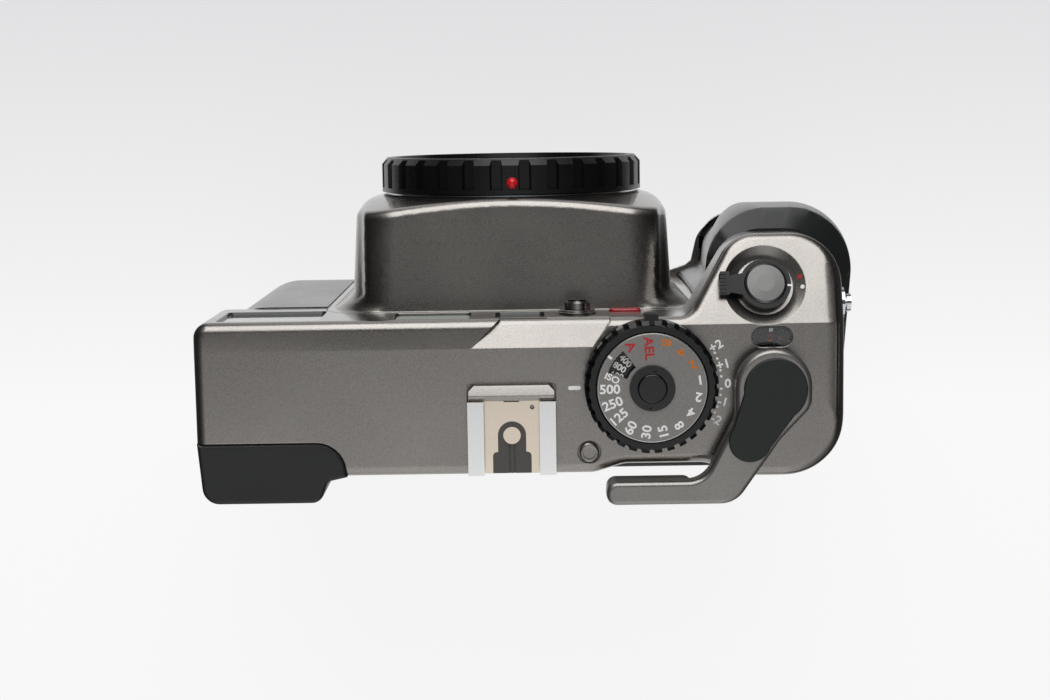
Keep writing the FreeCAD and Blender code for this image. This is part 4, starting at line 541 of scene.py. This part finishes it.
# Exposure compensation scale on the top cover, read outwards. index is the speed index left of the dial.
compensationScale = {
    "top": 104.0, "capHeight": 1.95, "widen": 1.05, "facing": 0,
    "figures": [("+2", 29.6, 17.25), ("+1", 14.2, 16.95), ("0", -0.6, 17.75), ("-1", -14.8, 16.95),
                ("-2", -29.2, 17.35)],
    "dotRadius": 0.3, "dotSides": 14, "dotPlace": 16.3, "dots": (25, 20, 10, 5, -5, -10, -20, -25),
    "index": {"place": (14.05, 0.45), "size": (2.9, 0.9)}}
marks = figuresAround(compensationScale["figures"], compensationScale) + dotsAround(compensationScale)
index = compensationScale["index"]
marks.append(setDown(inkBar(*index["size"]), (*index["place"], inkOn(compensationScale["top"]))))
joinMarks("compensationScale", marks, whiteInk, "camera_body")

# Frame counter: start mark and arrow heads on the disc, and the index on its window
counterMarks = {
    "discTop": 101.2, "start": {"text": "S", "place": (58.96, 11.05), "capHeight": 1.6, "widen": 1.1},
    "arrows": [(61.19, 10.9, -78), (63.28, 10.22, -90)], "arrowRadius": 0.45,
    "windowTop": 103.75, "index": {"place": (58.9, 13.15), "size": (0.9, 0.8), "roundness": 0.2}}
start, index, height = counterMarks["start"], counterMarks["index"], inkOn(counterMarks["discTop"])
marks = [setDown(inkText(start["text"], start["capHeight"]), (*start["place"], height), widen=start["widen"])]
marks += [setDown(inkDrop(counterMarks["arrowRadius"], 3), (x, y, height), turn)
          for x, y, turn in counterMarks["arrows"]]
joinMarks("counterStartMarks", marks, orangeInk, "counter")
onWindow = (*index["place"], inkOn(counterMarks["windowTop"]))
joinMarks("counterIndex", [setDown(inkBar(*index["size"], index["roundness"]), onWindow)], greyInk,
          "camera_body")

# Release: its seat leans towards the lens side by lean in degrees, and marks are placed on it by seat
# measures in mm
releaseSeat = {"origin": (57.9, 23.05, 100.586), "lean": -22.0}


def onSeat(x, y, z):  # from seat measures to the frame
    lean = math.radians(releaseSeat["lean"])
    originX, originY, originZ = releaseSeat["origin"]
    return (originX + x, originY + y * math.cos(lean) - z * math.sin(lean),
            originZ + y * math.sin(lean) + z * math.cos(lean))


def seatMeasures(x, y, z):  # from the frame to seat measures
    lean = math.radians(releaseSeat["lean"])
    originX, originY, originZ = releaseSeat["origin"]
    across, rise = y - originY, z - originZ
    return (x - originX, across * math.cos(lean) + rise * math.sin(lean),
            rise * math.cos(lean) - across * math.sin(lean))


# The collar's index, and the knurl on its thumb tab: raised ribs across its end
collarIndex = {"size": (1.1, 0.45), "place": (5.5, -0.5, 1.52), "turn": -6}
joinMarks("collarIndex", [setDown(inkBar(*collarIndex["size"]), onSeat(*collarIndex["place"]),
                                  collarIndex["turn"], releaseSeat["lean"])],
          whiteInk, "release_lock")
tabRibs = {"size": (1.5, 0.42), "roundness": 0.3, "rise": 0.36, "x": -9.72,
           "y": (-2.15, -1.29, -0.43, 0.43, 1.29, 2.15), "z": 2.42}
ribs = [setDown(inkBar(*tabRibs["size"], tabRibs["roundness"]), onSeat(tabRibs["x"], y, tabRibs["z"]), 0,
                releaseSeat["lean"], thicken=tabRibs["rise"] / ink["depth"])
        for y in tabRibs["y"]]
joinMarks("collarRibs", ribs, collarPlastic, "release_lock")
print("printed marks made")


def copyOfNode(nodeName, pieceName):  # a merged copy of a CAD node's mesh, to be shaped further
    weld = 0.002 * mm
    piece = bpy.data.objects.new(pieceName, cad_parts[nodeName].data.copy())
    bpy.context.collection.objects.link(piece)
    selectOnly(piece)
    if piece.data.has_custom_normals:
        bpy.ops.mesh.customdata_custom_splitnormals_clear()
    editAll()
    bpy.ops.mesh.remove_doubles(threshold=weld)
    bpy.ops.object.mode_set(mode="OBJECT")
    return piece


def cutAcross(piece, heights, axis):  # extra edge loops where a form is to bend
    for height in heights:
        place, normal = [0, 0, 0], [0, 0, 0]
        place[axis], normal[axis] = height * mm, 1
        editAll()
        bpy.ops.mesh.bisect(plane_co=place, plane_no=normal)
    bpy.ops.object.mode_set(mode="OBJECT")


def ease(value):  # 0 to 1 with soft ends
    value = min(1.0, max(0.0, value))
    return value * value * (3 - 2 * value)


def smoothed(piece, smooth=32, ridges=()):  # smooth below the angle, with flat faces flat up to their edges
    selectOnly(piece)
    bpy.ops.object.shade_smooth_by_angle(angle=math.radians(smooth))
    for edge in piece.data.edges:
        if edge.key in ridges:
            edge.use_edge_sharp = True
    bpy.ops.object.modifier_add(type="WEIGHTED_NORMAL")
    piece.modifiers[0].keep_sharp = True
    bpy.ops.object.modifier_apply(modifier=piece.modifiers[0].name)


# A CAD node's form with its sides pushed. push gives the sideways push in mm at a place in mm.
def makeShell(nodeName, pieceName, loops, push, material):
    shell = copyOfNode(nodeName, pieceName)
    cutAcross(shell, loops, 1)
    for vertex in shell.data.vertices:
        vertex.co.x += push(*[c / mm for c in vertex.co]) * mm
    smoothed(shell)
    dress(shell, pieceName, material, "camera_body", [nodeName])


# The grip's left flank leans in towards its foot, and the base plate under it follows. The battery's bore
# stays where it is.
gripFlank = {"gripLoops": (17.8, 18.6, 19.6, 20.8, 23.0, 26.0),
             "baseLoops": (17.4, 18.6, 19.6, 20.8, 23.0, 26.0),
             "root": 17.3, "fillet": 3.2, "shift": 6.0, "bulge": 2.0, "bulgeFrom": 26.0, "bulgeOver": 10.0,
             "top": 88.0, "startX": 38.0, "fadeFrom": 48.0, "fadeOver": 23.0,
             "boreCentre": (62.0, 25.0), "boreRoom": 9.45, "boreTop": 32.0}


def gripPush(x, y, z):
    boreX, boreY = gripFlank["boreCentre"]
    nearBore = math.hypot(x - boreX, y - boreY) < gripFlank["boreRoom"] and z < gripFlank["boreTop"]
    if x < gripFlank["startX"] or nearBore:
        return 0.0
    lean = (gripFlank["top"] - z) / gripFlank["top"]
    outward = ease((y - gripFlank["root"]) / gripFlank["fillet"])
    fade = 1 - ease((x - gripFlank["fadeFrom"]) / gripFlank["fadeOver"])
    full = gripFlank["shift"] + gripFlank["bulge"] * ease((y - gripFlank["bulgeFrom"]) / gripFlank["bulgeOver"])
    return full * lean * outward * fade


makeShell("hand_grip", "gripShell", gripFlank["gripLoops"], gripPush, rubber)
makeShell("base_cover", "baseShell", gripFlank["baseLoops"], gripPush, lacquer)

# The barrel's side walls stand a little closer to the lens than the solid's
barrelWalls = {"loops": (17.6, 18.6, 19.8, 21.0), "draw": 2.3, "from": 34.0, "over": 5.0, "foot": 16.9,
               "rise": 4.0}


def barrelPush(x, y, z):
    outward = ease((abs(x) - barrelWalls["from"]) / barrelWalls["over"])
    upward = ease((y - barrelWalls["foot"]) / barrelWalls["rise"])
    return -math.copysign(barrelWalls["draw"], x) * (outward * upward)


makeShell("front_cover", "frontShell", barrelWalls["loops"], barrelPush, barrelLacquer)
print("grip, base and barrel shaped")


def boxBetween(low, high):  # a block between two corners in mm, to be shaped further
    startClean()
    size = [(b - a) * mm for a, b in zip(low, high)]
    bpy.ops.mesh.primitive_cube_add(size=1, location=[(a + b) / 2 * mm for a, b in zip(low, high)], scale=size)
    return settle(bpy.context.object)


def finishPiece(piece, name, material, body, replaced=(), smooth=32, ridges=()):
    smoothed(piece, smooth, ridges)
    dress(piece, name, material, body, replaced)


# The top cover's right end rolls over towards the grip, and the dish round the release is shallow. The roll
# starts and drops by the first value at the rear and by the second at the lens side. deep and rim bound the
# dish in seat measures, and share is how much of its depth stays.
lobeRoll = {"from": (73.4, 71.0), "to": 76.25, "drop": (2.4, 3.2), "sideFrom": 6.0, "sideOver": 12.0,
            "deck": 104.0, "ridge": 14.6, "slope": 22.0, "band": 5.5,
            "loops": (71.5, 72.3, 73.1, 73.9, 74.6, 75.2, 75.7)}
dishShape = {"radius": 9.5, "deep": -2.25, "rim": -0.02, "share": 0.62}
# Tilts of the cover's flat faces, whose ridges stay crisp, and the angle below which the rest is smoothed, in
# degrees. The other values say how near to a tilt a face's normal has to be.
flatFaces = {"tilts": (0.0, 2.5, 22.0), "sideways": 0.003, "off": 0.004, "upward": 0.9, "smooth": 20}


def rollDown(x, y, z):
    side = ease((y - lobeRoll["sideFrom"]) / lobeRoll["sideOver"])
    start, drop = (rear + (front - rear) * side for rear, front in (lobeRoll["from"], lobeRoll["drop"]))
    out = min(1.0, max(0.0, (x - start) / (lobeRoll["to"] - start)))
    top = lobeRoll["deck"] - max(0.0, y - lobeRoll["ridge"]) * math.tan(math.radians(lobeRoll["slope"]))
    return drop * (1 - math.sqrt(1 - out * out)) * ease((z - top + lobeRoll["band"]) / lobeRoll["band"])


def tiltOf(normal):  # which of the flat tilts a face has, if any
    for tilt in flatFaces["tilts"]:
        level = abs(normal.x) < flatFaces["sideways"] and normal.z > flatFaces["upward"]
        if level and abs(normal.y - math.sin(math.radians(tilt))) < flatFaces["off"]:
            return tilt
    return None


topShell = copyOfNode("top_cover", "topShell")
cutAcross(topShell, lobeRoll["loops"], 0)
tiltsAt = {}
for polygon in topShell.data.polygons:
    for key in polygon.edge_keys:
        tiltsAt.setdefault(key, []).append(tiltOf(polygon.normal))
ridges = {key for key, tilts in tiltsAt.items()
          if len(tilts) == 2 and None not in tilts and tilts[0] != tilts[1]}
for vertex in topShell.data.vertices:
    x, y, z = vertex.co / mm
    seatX, seatY, seatZ = seatMeasures(x, y, z)
    if math.hypot(seatX, seatY) < dishShape["radius"] and dishShape["deep"] < seatZ < dishShape["rim"]:
        x, y, z = onSeat(seatX, seatY, seatZ * dishShape["share"])
    vertex.co = (x * mm, y * mm, (z - rollDown(x, y, z)) * mm)
finishPiece(topShell, "topShell", coverLacquer, "camera_body", ["top_cover"],
            flatFaces["smooth"], ridges)

# On and off dots of the release, on the dish. dropFrom is the height in mm from which they are laid down.
releaseDots = {"white": (66.6, 22.58, 0.5), "red": (66.08, 24.75, 0.55), "dropFrom": 200.0}


def layOn(surface, mark, x, y):  # straight down on to a surface, square to it there
    hit, spot, normal, face = surface.ray_cast((x * mm, y * mm, releaseDots["dropFrom"] * mm), (0, 0, -1))
    mark.rotation_mode = "QUATERNION"
    mark.rotation_quaternion = normal.to_track_quat("Z", "Y")
    mark.location = spot + normal * ink["depth"] * mm * 0.5
    return settle(mark)


for colour, material in (("white", whiteInk), ("red", redInk)):
    x, y, radius = releaseDots[colour]
    joinMarks(colour + "ReleaseDot", [layOn(topShell, inkDrop(radius), x, y)], material, "camera_body")

# Shoe bar: a block with its top cut back towards the lens side, so that it catches the light there. An edge
# within reach of the top, front or rear belongs to it, edges on end are longer than onEnd, and topReach takes
# in the whole cut top.
shoeBar = {"low": (-10.3, -2.05, 103.22), "high": (9.5, 1.55, 106.85), "ledge": -0.85, "ledgeDrop": 0.95,
           "facetDrop": 0.87, "corner": 1.3, "edge": 0.16, "reach": 0.5, "onEnd": 1.0, "topReach": 1.85}
rear, front, top = shoeBar["low"][1], shoeBar["high"][1], shoeBar["high"][2]


def isTopEdge(a, b, reach=shoeBar["reach"]):
    return min(a.z, b.z) > top - reach


bar = boxBetween(shoeBar["low"], shoeBar["high"])
editAll()
bpy.ops.mesh.bisect(plane_co=(0, shoeBar["ledge"] * mm, 0), plane_no=(0, 1, 0))
selectEdges(bar, lambda a, b: isTopEdge(a, b) and min(a.y, b.y) > front - shoeBar["reach"])
bpy.ops.transform.translate(value=(0, 0, -shoeBar["facetDrop"] * mm))
selectEdges(bar, lambda a, b: isTopEdge(a, b) and max(a.y, b.y) < rear + shoeBar["reach"])
bpy.ops.transform.translate(value=(0, 0, -shoeBar["ledgeDrop"] * mm))
selectEdges(bar, lambda a, b: abs(a.z - b.z) > shoeBar["onEnd"] and a.y > front - shoeBar["reach"])
bpy.ops.mesh.bevel(offset=shoeBar["corner"] * mm, segments=1)
selectEdges(bar, lambda a, b: isTopEdge(a, b, shoeBar["topReach"]))
bpy.ops.mesh.bevel(offset=shoeBar["edge"] * mm, segments=2)
finishPiece(bar, "shoeBar", lacquer, "camera_body", ["shoe_bar"])

# Check button: a turned cap with a chamfer and a shallow dish. A face with more than upward of its normal
# straight up is its top.
checkButton = {"centre": (17.3, -14.5), "radius": 2.28, "sides": 64, "foot": 100.0, "top": 104.72,
               "chamfer": 0.45, "inset": 0.3, "dish": 0.12, "upward": 0.99}
middle = (checkButton["top"] + checkButton["foot"]) / 2
startClean()
bpy.ops.mesh.primitive_cylinder_add(vertices=checkButton["sides"], radius=checkButton["radius"] * mm,
                                    depth=(checkButton["top"] - checkButton["foot"]) * mm,
                                    location=[c * mm for c in (*checkButton["centre"], middle)])
button = settle(bpy.context.object)
selectFaces(button, lambda normal: normal.z > checkButton["upward"])
bpy.ops.mesh.bevel(offset=checkButton["chamfer"] * mm, segments=3)
selectFaces(button, lambda normal: normal.z > checkButton["upward"])
bpy.ops.mesh.inset(thickness=checkButton["inset"] * mm, depth=0)
bpy.ops.mesh.inset(thickness=checkButton["inset"] * mm, depth=-checkButton["dish"] * mm)
finishPiece(button, "checkButtonCap", lacquer, "check", ["check_button"])

# Cut-bright line round the dial's face
dialLine = {"radius": 12.22, "wire": 0.11, "height": 110.84, "steps": 144, "wireSteps": 8, "squash": 0.6}
startClean()
bpy.ops.mesh.primitive_torus_add(major_radius=dialLine["radius"] * mm, minor_radius=dialLine["wire"] * mm,
                                 major_segments=dialLine["steps"], minor_segments=dialLine["wireSteps"],
                                 location=[c * mm for c in (*dialCentre, dialLine["height"])])
line = settle(bpy.context.object)
editAll()
bpy.ops.transform.resize(value=(1, 1, dialLine["squash"]), center_override=(0, 0, dialLine["height"] * mm))
finishPiece(line, "dialCutLine", chrome, "speed")
print("small parts shaped")
